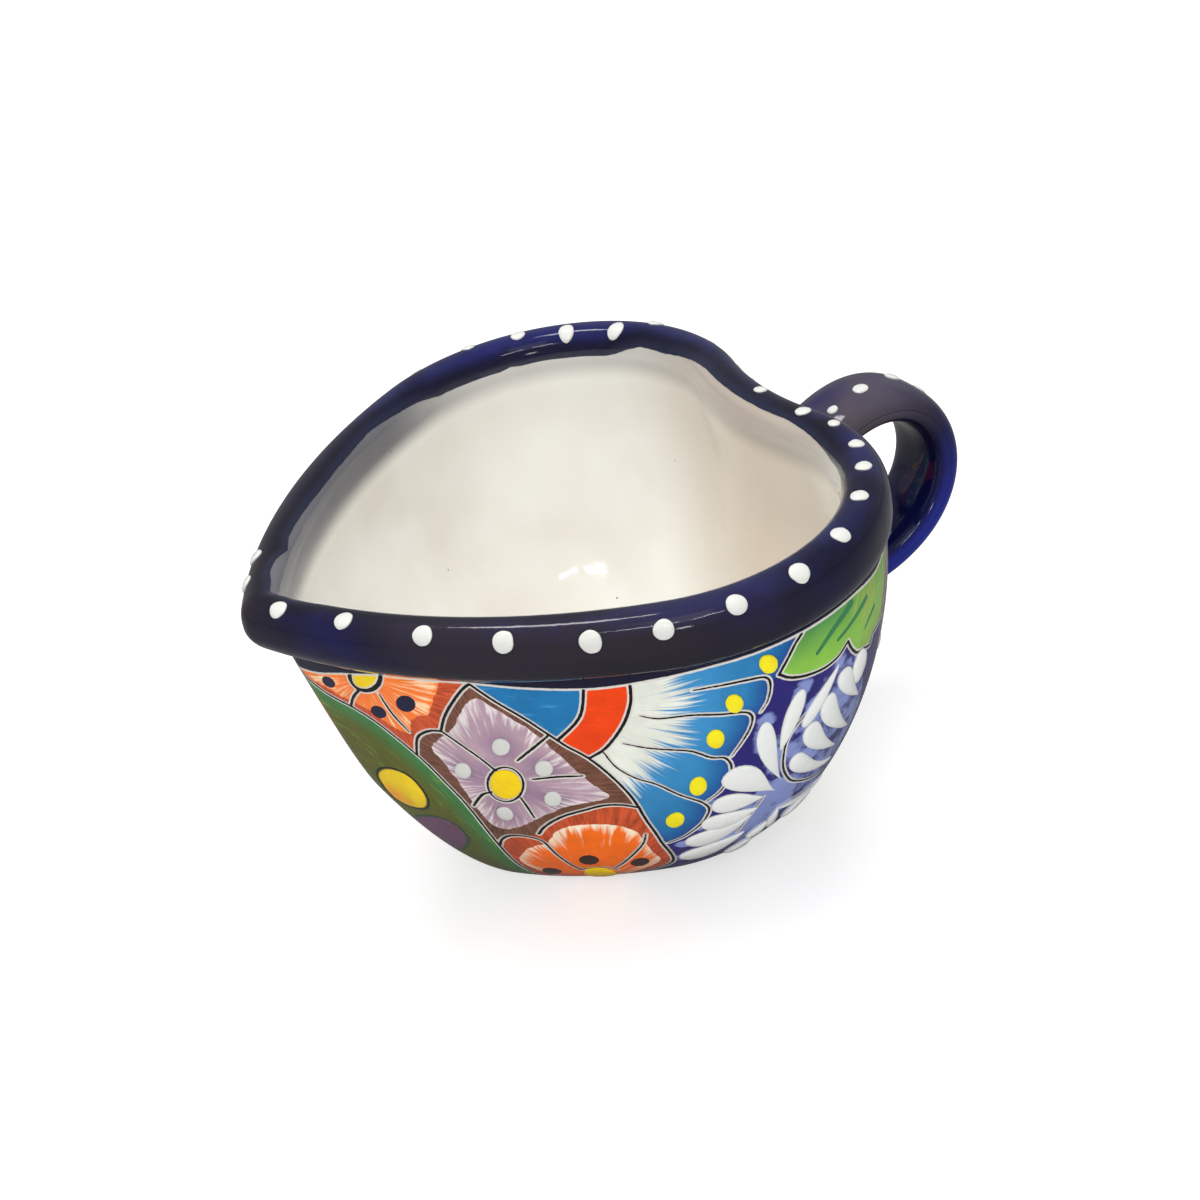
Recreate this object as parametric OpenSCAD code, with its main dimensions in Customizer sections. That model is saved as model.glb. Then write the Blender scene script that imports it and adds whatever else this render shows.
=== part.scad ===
// Heart-shaped earthenware mug with a rolled lip, a strap handle and raised enamel

/* [Bowl] */
// Height from the foot to the crest of the lip
mug_h = 78; // [60:1:110]
// Distance between the two lobe centres across the mouth
lobe_spread = 50.4; // [44:0.2:60]
// Radius of each lobe at the lip
lobe_r = 41.1; // [36:0.1:48]
// How far the lobe centres stand behind the middle of the foot
lobe_x = 12.9; // [4:0.1:20]
// Distance from the middle of the foot to the centre of the tip's rounding
tip_reach = 53.4; // [44:0.1:64]
// Radius of the rounded tip
tip_r = 6.2; // [5.5:0.1:9]
// Radius of the long side arcs
side_r = 123; // [100:1:160]
// Radius of the hollow between the lobes
cleft_r = 73; // [50:1:90]
// Thickness of the fired clay wall
wall_t = 3.8; // [3:0.1:5]
// Thickness of the clay floor
floor_t = 6; // [4:0.1:9]

/* [Foot] */
// Radius of each lobe of the foot
foot_lobe_r = 21; // [17:0.1:26]
// Distance between the lobe centres of the foot
foot_lobe_spread = 7.6; // [4:0.1:14]
// How far the foot's lobe centres stand behind the middle
foot_lobe_x = 6.5; // [2:0.1:10]
// Distance from the middle to the centre of the foot's tip
foot_tip_reach = 13.2; // [10:0.1:18]
// Radius of the foot's tip
foot_tip_r = 14.4; // [12:0.1:18]
// Radius of the foot's side arcs
foot_side_r = 56; // [48:1:80]
// Radius of the hollow at the back of the foot
foot_cleft_r = 56; // [40:1:80]

/* [Lip] */
// Width of the rolled lip
lip_w = 9.2; // [8.4:0.1:11]
// Height of the rolled lip
lip_h = 12.2; // [10:0.1:15]
// How far the wall stands in from the lip's outer side
wall_inset = 1.9; // [1.7:0.1:2.3]
// How far the lip is pinched out at the tip
tip_pinch = 1.8; // [0:0.1:4]
// How far the coil is pressed flat on the wall
seat_press = 0.9; // [0.8:0.05:1.3]

/* [Handle] */
// Width of the strap
strap_w = 17.4; // [14:0.1:22]
// Thickness of the strap
strap_t = 7.6; // [6:0.1:9]
// How far the strap's upper root lies below the lip
root_drop = 10.4; // [9:0.1:14]
// Distance between the strap's upper and lower roots
root_spread = 23.9; // [20:0.1:28]
// How far the strap's bend is drawn out behind the bowl
strap_reach = 54; // [44:0.5:64]
// How far the strap is drawn up above its upper root
strap_lift = 34; // [24:0.5:40]
// How far the strap is drawn down below its lower root
strap_drop = 9; // [2:0.5:14]
// Width of the slip fillet round each root
fillet_w = 2.2; // [1:0.1:3]
// How far each slip fillet runs along the strap
fillet_run = 6; // [4:0.1:9]

/* [Glaze] */
// Thickness of the painted coat outside
coat_t = 0.5; // [0.3:0.05:0.8]
// Thickness of the white liner inside
liner_t = 0.6; // [0.3:0.05:1]

/* [Raised enamel] */
// Diameter of a white dot on the lip
rim_dot_d = 3.9; // [3:0.1:5]
// Diameter of a white dot on the strap
strap_dot_d = 3.8; // [3:0.1:5]
// Diameter of a yellow dot on the fan
fan_dot_d = 3.7; // [3:0.1:5]
// Diameter of a white dot on a petal
petal_dot_d = 3.4; // [2.5:0.1:4.5]
// Diameter of a flower's yellow centre
centre_d = 6.4; // [5:0.1:8]
// Width of a white feather stroke at its head
stroke_w = 4; // [3:0.1:5]
// How far the enamel stands up from the glaze
enamel_rise = 0.7; // [0.4:0.05:1]

/* [Hidden] */

// Colours as fired
clay_colour = [0.78, 0.58, 0.44];
cobalt = [0.07, 0.07, 0.26];
cream = [0.90, 0.87, 0.81];
paint_blue = [0.20, 0.46, 0.72];
enamel_white = [0.95, 0.95, 0.92];
enamel_yellow = [0.93, 0.84, 0.15];

// Facets along the tip, side, lobe and cleft arcs of one half, and down the wall
arc_steps = [2, 9, 15, 4];
half_steps = arc_steps[0] + arc_steps[1] + arc_steps[2] + arc_steps[3];
ring_steps = 2 * half_steps;
wall_levels = 11;
section_steps = 16;
strap_rings = 22;
fillet_rings = 7;
enamel_sides = 10;

// How the wall draws in: rates of the outline's change from the lip to the foot
draw_in_power = 1.6;
draw_in_root = 1.64;
tip_draw_power = 0.76;
// Squareness of the lip's and the strap's sections
lip_power = 2.4;
strap_power = 2.6;

// Outlines as [lobe x, lobe y, lobe radius, tip x, tip radius, side radius, cleft radius]
mouth = [lobe_x, lobe_spread / 2, lobe_r, -tip_reach, tip_r, side_r, cleft_r];
foot = [foot_lobe_x, foot_lobe_spread / 2, foot_lobe_r, -foot_tip_reach, foot_tip_r,
        foot_side_r, foot_cleft_r];
pinched_mouth = mouth - [0, 0, 0, tip_pinch, 0, 0, 0];
// The tip of an inner outline never gets sharper than this
least_tip_r = tip_r - wall_t;
band_z = mug_h - lip_h;
seat_z = band_z + seat_press;
// The painted coat stops this far above the foot's face
foot_line_z = floor_t / 4;
foot_line_share = 1 - foot_line_z / band_z;
// Enamel sits this far off the true surface, and slopes are measured over this step
enamel_seat = coat_t / 10;
probe = 0.02;
// Shoulder of an enamel dome, as shares of its width and of its rise
shoulder_shares = [0.72, 0.75];

function blend(a, b, w) = a + (b - a) * w;
function unit(v) = v / norm(v);
function signed_pow(x, p) = sign(x) * pow(abs(x), p);

// An outline moved out by d, with all its arc centres kept except at a sharp tip
function grown(h, d) =
    let (r = max(h[4] + d, least_tip_r))
    [h[0], h[1], h[2] + d, h[3] - h[4] - d + r, r, h[5] + d, h[6] - d];

// Outline of the wall at share t of the way down from the band to the foot
function level(t) =
    let (w = 1 - pow(1 - pow(t, draw_in_power), 1 / draw_in_root),
         wt = pow(w, tip_draw_power))
    [blend(mouth[0], foot[0], w), blend(mouth[1], foot[1], w), blend(mouth[2], foot[2], w),
     blend(mouth[3], foot[3], wt), blend(mouth[4], foot[4], wt),
     blend(mouth[5], foot[5], w), blend(mouth[6], foot[6], w)];

// Centre of the side arc that touches the lobe and the tip from inside
function side_centre(h) =
    let (a = h[5] - h[2], b = h[5] - h[4],
         to_tip = [h[3] - h[0], -h[1]],
         span = norm(to_tip), e = to_tip / span,
         along = (a * a - b * b + span * span) / (2 * span),
         across = sqrt(max(a * a - along * along, 0)))
    [h[0] + along * e[0] - across * e[1], h[1] + along * e[1] + across * e[0]];

function arc_pt(c, r, a) = [c[0] + r * cos(a), c[1] + r * sin(a)];

// Point of the half outline, s facets from the tip
function half_pt(h, s) =
    let (n = arc_steps, c = side_centre(h),
         tip_a = atan2(-c[1], h[3] - c[0]),
         lobe_a = atan2(h[1] - c[1], h[0] - c[0]),
         cleft_x = h[0] + sqrt(pow(h[2] + h[6], 2) - h[1] * h[1]),
         cleft_a = atan2(-h[1], cleft_x - h[0]),
         s1 = s - n[0], s2 = s1 - n[1], s3 = s2 - n[2])
    s1 <= 0 ? arc_pt([h[3], 0], h[4], blend(180, tip_a, s / n[0])) :
    s2 <= 0 ? arc_pt(c, h[5], blend(tip_a, lobe_a, s1 / n[1])) :
    s3 <= 0 ? arc_pt([h[0], h[1]], h[2], blend(lobe_a, cleft_a, s2 / n[2])) :
    arc_pt([cleft_x, 0], h[6], blend(cleft_a + 180, 180, s3 / n[3]));

function ring_pt(h, s) =
    s <= half_steps ? half_pt(h, s) :
    let (p = half_pt(h, ring_steps - s)) [p[0], -p[1]];

function ring(h, z) = [for (i = [0:ring_steps - 1]) concat(ring_pt(h, i), z)];

// Shares down the wall as far as last, closer together where it turns under
function level_t(i, last) = last * sin(90 * i / wall_levels);

// Rings of the outer wall grown by d, from the lip's seat down to the coat's lower edge
function outer_rings(d) = concat(
    [ring(grown(mouth, d - wall_inset), seat_z)],
    [for (i = [0:wall_levels])
        let (t = level_t(i, foot_line_share))
        ring(grown(level(t), d - wall_inset), band_z * (1 - t))]);
function foot_ring(d) = [ring(grown(foot, d - wall_inset), 0)];

// Rings of the hollow, with its wall d inside the coat's face and its floor at z0
function inner_rings(d, z0) = concat(
    [for (i = [wall_levels:-1:0])
        let (t = level_t(i, 1))
        ring(grown(level(t), -d - wall_inset), z0 + (band_z - z0) * (1 - t))],
    [ring(grown(mouth, -d - wall_inset), seat_z)]);
function backwards(list) = [for (i = [len(list) - 1:-1:0]) list[i]];

// Faces between rings. Each diagonal runs from a lower point to the next upper one, so that
// two skins that share rings also share facets, whichever way their rings are listed.
function side_faces(rings) =
    let (n = len(rings[0]))
    [for (k = [0:len(rings) - 2], i = [0:n - 1], half = [0, 1])
        let (j = (i + 1) % n, a = k * n, b = a + n,
             falling = rings[k][0][2] > rings[k + 1][0][2])
        falling ? (half == 0 ? [a + i, b + i, a + j] : [b + i, b + j, a + j])
                : (half == 0 ? [a + i, b + i, b + j] : [a + i, b + j, a + j])];
function end_faces(rings) =
    let (n = len(rings[0]), last = (len(rings) - 1) * n)
    [[for (i = [0:n - 1]) i], [for (i = [n - 1:-1:0]) last + i]];

module loft(rings) {
    polyhedron([for (r = rings) each r], concat(side_faces(rings), end_faces(rings)),
               convexity = 8);
}

// A loft whose last ring repeats its first
module closed_loft(rings) {
    polyhedron([for (r = rings) each r], side_faces(rings), convexity = 8);
}

// Lip section: a squarish oval whose underside is pressed flat at the seat
seat_share = 1 - 2 * seat_press / lip_h;
seat_a = asin(pow(seat_share, lip_power / 2));
function lip_offset(a, h) =
    -lip_w / 2 + (lip_w / 2 + h) * signed_pow(cos(a), 2 / lip_power);
function lip_z(a, h) =
    mug_h - lip_h / 2 + (lip_h / 2 + h) * signed_pow(sin(a), 2 / lip_power);
lip_sides = section_steps - 1;
lip_angles = [for (i = [0:lip_sides]) blend(180 + seat_a, -seat_a, i / lip_sides)];

function lip_pt(s, a) = concat(ring_pt(grown(pinched_mouth, lip_offset(a, 0)), s), lip_z(a, 0));
// Point of the painted face, which stands straight up above the band
function wall_pt(s, t) =
    concat(ring_pt(grown(level(max(t, 0)), -wall_inset), s), band_z * (1 - t));

// Strap: one curve from the upper root to the lower root, with straight leads into the wall
root_x = ring_pt(mouth, half_steps)[0] - wall_inset;
strap_top_z = band_z - root_drop;
strap_low_z = strap_top_z - root_spread;
upper_bend_share = 0.72;
strap_points = [
    [root_x, strap_top_z],
    [root_x + strap_reach * upper_bend_share, strap_top_z + strap_lift],
    [root_x + strap_reach, strap_low_z - strap_drop],
    [root_x - strap_t / 2, strap_low_z]];

function curve_pt(p, t) =
    pow(1 - t, 3) * p[0] + 3 * t * pow(1 - t, 2) * p[1]
    + 3 * t * t * (1 - t) * p[2] + pow(t, 3) * p[3];
function curve_dir(p, t) = unit(
    pow(1 - t, 2) * (p[1] - p[0]) + 2 * t * (1 - t) * (p[2] - p[1])
    + t * t * (p[3] - p[2]));

// Centre and direction of the strap at share t, straight outside 0 to 1
function strap_centre(t) =
    let (c = max(0, min(1, t)))
    curve_pt(strap_points, c) + curve_dir(strap_points, c) * (t - c) * strap_reach;
function strap_dir(t) = curve_dir(strap_points, max(0, min(1, t)));

// Point of the strap's section at angle a, grown by d: 0 is the near edge, 90 the outer face
function strap_pt(t, a, d = 0) =
    let (c = strap_centre(t), e = strap_dir(t), out = [-e[1], e[0]],
         across = (strap_w / 2 + d) * signed_pow(cos(a), 2 / strap_power),
         up = (strap_t / 2 + d) * signed_pow(sin(a), 2 / strap_power),
         p = c + out * up)
    [p[0], -across, p[1]];
function strap_ring(t, d = 0) =
    [for (i = [0:section_steps - 1]) strap_pt(t, -360 * i / section_steps, d)];

// The leads run on into the bowl until their ends are well inside the wall
lead_share = (strap_t + fillet_w) / strap_reach;
fillet_share = fillet_run / strap_reach;

module strap_sweep() {
    loft([for (i = [0:strap_rings])
        strap_ring(blend(-lead_share, 1 + lead_share, i / strap_rings))]);
}

// Slip fillet that fades out along the strap from its root
module fillet_sweep(root, way) {
    rings = [for (i = [0:fillet_rings])
        let (at = blend(-lead_share, fillet_share, i / fillet_rings),
             left = 1 - max(0, at) / fillet_share)
        strap_ring(root + way * at, fillet_w * pow(left, 2))];
    loft(way > 0 ? rings : backwards(rings));
}

// Everything inside the clay's outer face, and the lip over it
module bowl_mass() {
    loft(concat(outer_rings(-coat_t), foot_ring(-coat_t)));
}

module bowl() {
    color(clay_colour)
        loft(concat(inner_rings(coat_t + wall_t, floor_t), outer_rings(-coat_t),
                    foot_ring(-coat_t)));
}

module rim_coil() {
    color(cobalt)
        closed_loft([for (i = [0:lip_sides + 1])
            let (a = lip_angles[i % (lip_sides + 1)])
            ring(grown(pinched_mouth, lip_offset(a, 0)), lip_z(a, 0))]);
}

module liner_glaze() {
    inside = inner_rings(coat_t + wall_t + liner_t, floor_t + liner_t);
    outside = inner_rings(coat_t + wall_t, floor_t);
    color(cream)
        loft(concat(inside, backwards(outside)));
}

module painted_coat() {
    outside = outer_rings(0);
    inside = outer_rings(-coat_t);
    color(paint_blue)
        difference() {
            closed_loft(concat(backwards(inside), outside, [inside[len(inside) - 1]]));
            strap_sweep();
            fillet_sweep(0, 1);
            fillet_sweep(1, -1);
        }
}

module handle_strap() {
    color(cobalt)
        difference() {
            strap_sweep();
            bowl_mass();
        }
}

module joint(root, way) {
    color(cobalt)
        difference() {
            fillet_sweep(root, way);
            strap_sweep();
            bowl_mass();
        }
}

module upper_joint() {
    joint(0, 1);
}

module lower_joint() {
    joint(1, -1);
}

// Outward direction of a surface, with a longer probe where v is an angle
function lift_dir(f, u, v, scale_v) =
    unit(cross(f(u + probe, v) - f(u - probe, v),
               f(u, v + probe * scale_v) - f(u, v - probe * scale_v)));

// Length on a surface of one step round, and of one step across
function step_u(f, at) =
    norm(f(at[0] + probe, at[1]) - f(at[0] - probe, at[1])) / (2 * probe);
function step_v(f, at, scale_v) =
    norm(f(at[0], at[1] + probe * scale_v) - f(at[0], at[1] - probe * scale_v))
    / (2 * probe * scale_v);

// Enamel laid on a surface: an oval or a drop that is round at its head and thin at its tail
module enamel(f, at, length, width, turn = 0, tail = 0, scale_v = 1, rise = enamel_rise) {
    per_u = step_u(f, at);
    per_v = step_v(f, at, scale_v);
    n = enamel_sides;
    rings = [for (shape = [[1, 0], shoulder_shares], i = [0:n - 1])
        let (a = 360 * i / n,
             x = length / 2 * cos(a) * shape[0],
             y = width / 2 * sin(a) * shape[0] * pow((1 + cos(a)) / 2, tail),
             u = at[0] + (x * cos(turn) - y * sin(turn)) / per_u,
             v = at[1] + (x * sin(turn) + y * cos(turn)) / per_v)
        f(u, v) + lift_dir(f, u, v, scale_v) * (enamel_seat + rise * shape[1])];
    top = f(at[0], at[1]) + lift_dir(f, at[0], at[1], scale_v) * (enamel_seat + rise);
    base = f(at[0], at[1]) + lift_dir(f, at[0], at[1], scale_v) * enamel_seat;
    polyhedron(concat(rings, [base, top]), concat(
        [for (i = [0:n - 1]) [2 * n, i, (i + 1) % n]],
        [for (i = [0:n - 1]) [i, n + i, n + (i + 1) % n]],
        [for (i = [0:n - 1]) [i, n + (i + 1) % n, (i + 1) % n]],
        [for (i = [0:n - 1]) [n + i, 2 * n + 1, n + (i + 1) % n]]));
}

// Angles and strap shares need a longer and a shorter step than shares of the wall
angle_scale = 50;
wall_face = function (s, t) wall_pt(s, t);
lip_face = function (s, a) lip_pt(s, -a);
strap_face = function (t, a) strap_pt(t, a);

module both_sides() {
    children();
    mirror([0, 1, 0]) children();
}

// Places are shares of the way round from the tip, and angles up the section or shares down
// the wall. The lip's dots go all the way round, the wall's marks are painted on both sides.
rim_dot_shares = [
    [0.047, 50], [0.080, 58], [0.105, 62], [0.129, 66], [0.154, 70], [0.179, 70], [0.208, 70],
    [0.242, 72], [0.272, 96], [0.305, 112], [0.340, 112], [0.373, 100], [0.405, 88],
    [0.434, 84], [0.471, 80], [0.510, 80], [0.537, 84], [0.565, 88], [0.595, 84],
    [0.620, 84], [0.646, 88], [0.677, 88], [0.713, 72], [0.747, 56], [0.782, 48],
    [0.817, 34], [0.840, 28], [0.868, 40], [0.896, 52], [0.927, 72], [0.955, 68]];

module rim_dots() {
    color(enamel_white)
        for (p = rim_dot_shares)
            enamel(lip_face, [p[0] * ring_steps, -p[1]], rim_dot_d, rim_dot_d, 0, 0, angle_scale);
}

strap_dot_count = 9;
strap_dot_shares = [0.13, 0.83];

module handle_dots() {
    color(enamel_white)
        for (i = [0:strap_dot_count - 1])
            let (t = blend(strap_dot_shares[0], strap_dot_shares[1], i / (strap_dot_count - 1)))
            enamel(strap_face, [t, 90], strap_dot_d, strap_dot_d, 0, 0, angle_scale);
}

// Round marks on the wall
module wall_dots(places, size) {
    for (p = places)
        enamel(wall_face, [p[0] * ring_steps, p[1]], size, size);
}

fan_dot_shares = [[0.768, 0.05], [0.786, 0.14], [0.795, 0.25], [0.803, 0.42], [0.815, 0.575]];

module fan_dots() {
    color(enamel_yellow)
        both_sides() wall_dots(fan_dot_shares, fan_dot_d);
}

// White dots on the lilac flower, and on the flower behind the feather
petal_dot_shares = [
    [0.881, 0.225], [0.867, 0.317], [0.869, 0.446], [0.896, 0.538], [0.904, 0.354],
    [0.628, 0.24], [0.605, 0.36], [0.616, 0.55], [0.641, 0.55], [0.652, 0.36]];

module petal_dots() {
    color(enamel_white)
        both_sides() wall_dots(petal_dot_shares, petal_dot_d);
}

centre_shares = [[0.887, 0.392], [0.874, 0.9], [0.628, 0.41]];

module flower_centres() {
    color(enamel_yellow)
        both_sides() wall_dots(centre_shares, centre_d);
}

// Feather strokes as [head round, head down, tail round, tail down, share of the full width]
stroke_shares = [
    [0.749, 0.212, 0.757, 0.375, 0.7], [0.765, 0.304, 0.756, 0.492, 1.1],
    [0.777, 0.425, 0.757, 0.533, 1.4], [0.789, 0.529, 0.765, 0.558, 0.9],
    [0.794, 0.621, 0.765, 0.608, 0.7], [0.803, 0.729, 0.769, 0.660, 0.7],
    [0.806, 0.815, 0.772, 0.737, 0.6], [0.744, 0.312, 0.723, 0.188, 0.7],
    [0.706, 0.229, 0.702, 0.321, 0.8], [0.716, 0.330, 0.714, 0.240, 0.9],
    [0.726, 0.400, 0.721, 0.280, 0.9], [0.736, 0.466, 0.730, 0.350, 0.9],
    [0.741, 0.560, 0.722, 0.480, 0.9], [0.742, 0.670, 0.712, 0.600, 0.8],
    [0.746, 0.770, 0.727, 0.700, 0.7], [0.690, 0.400, 0.704, 0.480, 0.9],
    [0.680, 0.540, 0.700, 0.580, 0.9], [0.684, 0.660, 0.706, 0.690, 0.8]];
stroke_tail = 0.35;

// A drop from its tail to its head, with the head's rounding past the head's place
module stroke(head, tail, width) {
    middle = (head + tail) / 2;
    run = [(head[0] - tail[0]) * step_u(wall_face, middle),
           (head[1] - tail[1]) * step_v(wall_face, middle, 1)];
    enamel(wall_face, middle, norm(run) + width / 2, width, atan2(run[1], run[0]), stroke_tail);
}

module feather_strokes() {
    color(enamel_white)
        both_sides()
            for (p = stroke_shares)
                stroke([p[0] * ring_steps, p[1]], [p[2] * ring_steps, p[3]], stroke_w * p[4]);
}

bowl();
rim_coil();
liner_glaze();
painted_coat();
handle_strap();
upper_joint();
lower_joint();
rim_dots();
handle_dots();
feather_strokes();
fan_dots();
petal_dots();
flower_centres();
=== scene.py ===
import math

import bpy
import numpy as np
from mathutils import Matrix, Vector


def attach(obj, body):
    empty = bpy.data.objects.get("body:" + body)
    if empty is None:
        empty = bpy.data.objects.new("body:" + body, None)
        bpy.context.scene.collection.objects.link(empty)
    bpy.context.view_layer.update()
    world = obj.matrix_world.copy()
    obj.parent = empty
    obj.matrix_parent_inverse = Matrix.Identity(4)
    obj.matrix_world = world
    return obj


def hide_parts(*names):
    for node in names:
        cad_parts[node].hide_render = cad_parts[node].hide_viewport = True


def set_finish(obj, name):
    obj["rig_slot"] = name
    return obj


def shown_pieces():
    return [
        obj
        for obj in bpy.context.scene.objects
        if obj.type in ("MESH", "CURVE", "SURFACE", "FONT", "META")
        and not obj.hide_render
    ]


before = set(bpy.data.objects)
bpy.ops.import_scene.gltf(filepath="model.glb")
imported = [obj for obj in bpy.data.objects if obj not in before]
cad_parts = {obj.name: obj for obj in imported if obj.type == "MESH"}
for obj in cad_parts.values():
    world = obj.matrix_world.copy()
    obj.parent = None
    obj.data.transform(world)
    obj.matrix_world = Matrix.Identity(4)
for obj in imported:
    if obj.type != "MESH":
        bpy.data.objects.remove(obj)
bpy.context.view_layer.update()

# Sizes in millimetres, as the pieces are built
MM = 0.001
MUG_H = 78.0
WALL_T = 3.8
FLOOR_T = 6.0
COAT_T = 0.5
LINER_T = 0.6
LIP_W = 9.2
LIP_H = 12.2
# The smooth lip is this much thinner than its curve, so that it stays in the solids' box
LIP_EASE = 0.04
WALL_INSET = 1.9
TIP_PINCH = 1.8
TIP_TUCK = 2.8
TIP_TUCK_END = 0.55
SEAT_PRESS = 0.9
BAND_Z = MUG_H - LIP_H
SEAT_Z = BAND_Z + SEAT_PRESS
SEAT_SHARE = -SEAT_PRESS / BAND_Z
FOOT_LINE_Z = FLOOR_T / 4
FOOT_LINE_SHARE = 1 - FOOT_LINE_Z / BAND_Z
LEAST_TIP_R = 2.4
STRAP_W = 17.4
STRAP_T = 7.6
ROOT_DROP = 10.4
ROOT_SPREAD = 23.9
STRAP_REACH = 54.0
STRAP_LIFT = 34.0
STRAP_DROP = 9.0
UPPER_BEND_SHARE = 0.72
FILLET_W = 2.2
FILLET_RUN = 6.0
RIM_DOT_D = 3.9
STRAP_DOT_D = 3.8
FAN_DOT_D = 3.7
PETAL_DOT_D = 3.4
CENTRE_D = 6.4
ENAMEL_RISE = 0.7

# Outlines: lobe x, lobe y, lobe radius, tip x, tip radius, side radius, cleft radius
MOUTH = np.array([12.9, 25.2, 41.1, -53.4, 6.2, 123.0, 73.0])
FOOT = np.array([6.5, 3.8, 21.0, -13.2, 14.4, 56.0, 56.0])
PINCHED_MOUTH = MOUTH - np.array([0, 0, 0, TIP_PINCH, 0, 0, 0])
ARC_STEPS = (2, 9, 15, 4)
HALF_STEPS = sum(ARC_STEPS)
RING_STEPS = 2 * HALF_STEPS
SIDE_STEP = 20.0
DRAW_IN_POWER = 1.6
DRAW_IN_ROOT = 1.64
TIP_DRAW_POWER = 0.76
LIP_POWER = 2.4
STRAP_POWER = 2.6

# The photograph: a square frame, and the camera that its outlines were solved for
PHOTO_SIZE = 1200
FOCAL_PX = 2343.1
SENSOR_W = 36.0
CAM_AZIMUTH = -20.7
CAM_ELEVATION = 30.91
CAM_ROLL = -13.0
CAM_DISTANCE = 447.05
CAM_TARGET = np.array([3.95, -7.3, 51.92])


# Surfaces of the mug

def signed_pow(x, power):
    return np.sign(x) * np.abs(x) ** power


def grown(h, d):
    """Outlines h moved out by d, with the tip never sharper than its least radius."""
    h = np.asarray(h, float)
    r = np.maximum(h[..., 4] + d, LEAST_TIP_R)
    rows = [h[..., 0], h[..., 1], h[..., 2] + d, h[..., 3] - h[..., 4] - d + r, r,
            h[..., 5] + d, h[..., 6] - d]
    return np.stack(np.broadcast_arrays(*rows), -1)


def level(t):
    """Outlines of the wall at share t of the way down from the band to the foot."""
    t = np.clip(np.asarray(t, float), 0, 1)
    w = 1 - (1 - t ** DRAW_IN_POWER) ** (1 / DRAW_IN_ROOT)
    tip_w = w ** TIP_DRAW_POWER
    shares = np.stack([w, w, w, tip_w, tip_w, w, w], -1)
    return MOUTH + (FOOT - MOUTH) * shares


def outline(h, s):
    """Points x, y of outlines h at s steps round from the tip."""
    h, s = np.asarray(h, float), np.mod(np.asarray(s, float), RING_STEPS)
    side = np.where(s > HALF_STEPS, -1.0, 1.0)
    s = np.where(s > HALF_STEPS, RING_STEPS - s, s)
    lobe_x, lobe_y, lobe_r, tip_x, tip_r, side_r, cleft_r = np.moveaxis(h, -1, 0)
    a, b = side_r - lobe_r, side_r - tip_r
    to_x, to_y = tip_x - lobe_x, -lobe_y
    span = np.hypot(to_x, to_y)
    ex, ey = to_x / span, to_y / span
    along = (a * a - b * b + span * span) / (2 * span)
    across = np.sqrt(np.maximum(a * a - along * along, 0))
    side_x = lobe_x + along * ex - across * ey
    side_y = lobe_y + along * ey + across * ex
    tip_a = np.arctan2(-side_y, tip_x - side_x)
    lobe_a = np.arctan2(lobe_y - side_y, lobe_x - side_x)
    cleft_x = lobe_x + np.sqrt((lobe_r + cleft_r) ** 2 - lobe_y ** 2)
    cleft_a = np.arctan2(-lobe_y, cleft_x - lobe_x)
    n = np.cumsum((0,) + ARC_STEPS)
    arcs = [(tip_x, 0, tip_r, math.pi, tip_a), (side_x, side_y, side_r, tip_a, lobe_a),
            (lobe_x, lobe_y, lobe_r, lobe_a, cleft_a),
            (cleft_x, 0, cleft_r, cleft_a + math.pi, math.pi)]
    x = y = None
    for k, (cx, cy, r, a0, a1) in enumerate(arcs):
        turn = a0 + (a1 - a0) * (s - n[k]) / ARC_STEPS[k]
        px, py = cx + r * np.cos(turn), cy + r * np.sin(turn)
        x = px if x is None else np.where(s > n[k], px, x)
        y = py if y is None else np.where(s > n[k], py, y)
    return x, y * side


def wall(s, t, lift=0.0):
    """Points of the painted face, s steps round and share t down, moved out by lift."""
    s, t = np.broadcast_arrays(np.asarray(s, float), np.asarray(t, float))
    h = grown(level(t), lift - WALL_INSET)
    h[..., 3] += TIP_TUCK * np.clip(1 - (t / TIP_TUCK_END) ** 2, 0, 1) ** 1.5
    x, y = outline(h, s)
    return np.stack([x, y, BAND_Z * (1 - t)], -1)


def hollow(s, t, lift, floor_z):
    """Points of the inner wall, lift out from the painted face, over a floor."""
    s, t = np.broadcast_arrays(np.asarray(s, float), np.asarray(t, float))
    x, y = outline(grown(level(t), lift - WALL_INSET), s)
    return np.stack([x, y, floor_z + (BAND_Z - floor_z) * (1 - t)], -1)


def lip(s, a, lift=0.0):
    """Points of the lip at section angle a in degrees: 0 outermost, 90 the crest."""
    s, a = np.broadcast_arrays(np.asarray(s, float), np.radians(np.asarray(a, float)))
    out = -LIP_W / 2 + (LIP_W / 2 + lift) * signed_pow(np.cos(a), 2 / LIP_POWER)
    z = MUG_H - LIP_H / 2 + (LIP_H / 2 + lift) * signed_pow(np.sin(a), 2 / LIP_POWER)
    h = grown(PINCHED_MOUTH, out)
    low = np.clip(-np.sin(a), 0, 1) * np.clip(np.cos(a) + 0.3, 0, 1)
    h[..., 3] += TIP_TUCK * low ** 1.5
    x, y = outline(h, s)
    return np.stack([x, y, z], -1)


ROOT_X = outline(MOUTH, HALF_STEPS)[0] - WALL_INSET
STRAP_TOP_Z = BAND_Z - ROOT_DROP
STRAP_LOW_Z = STRAP_TOP_Z - ROOT_SPREAD
STRAP_POINTS = np.array([
    [ROOT_X, STRAP_TOP_Z],
    [ROOT_X + STRAP_REACH * UPPER_BEND_SHARE, STRAP_TOP_Z + STRAP_LIFT],
    [ROOT_X + STRAP_REACH, STRAP_LOW_Z - STRAP_DROP],
    [ROOT_X - STRAP_T / 2, STRAP_LOW_Z]])
FILLET_SHARE = FILLET_RUN / STRAP_REACH


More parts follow.
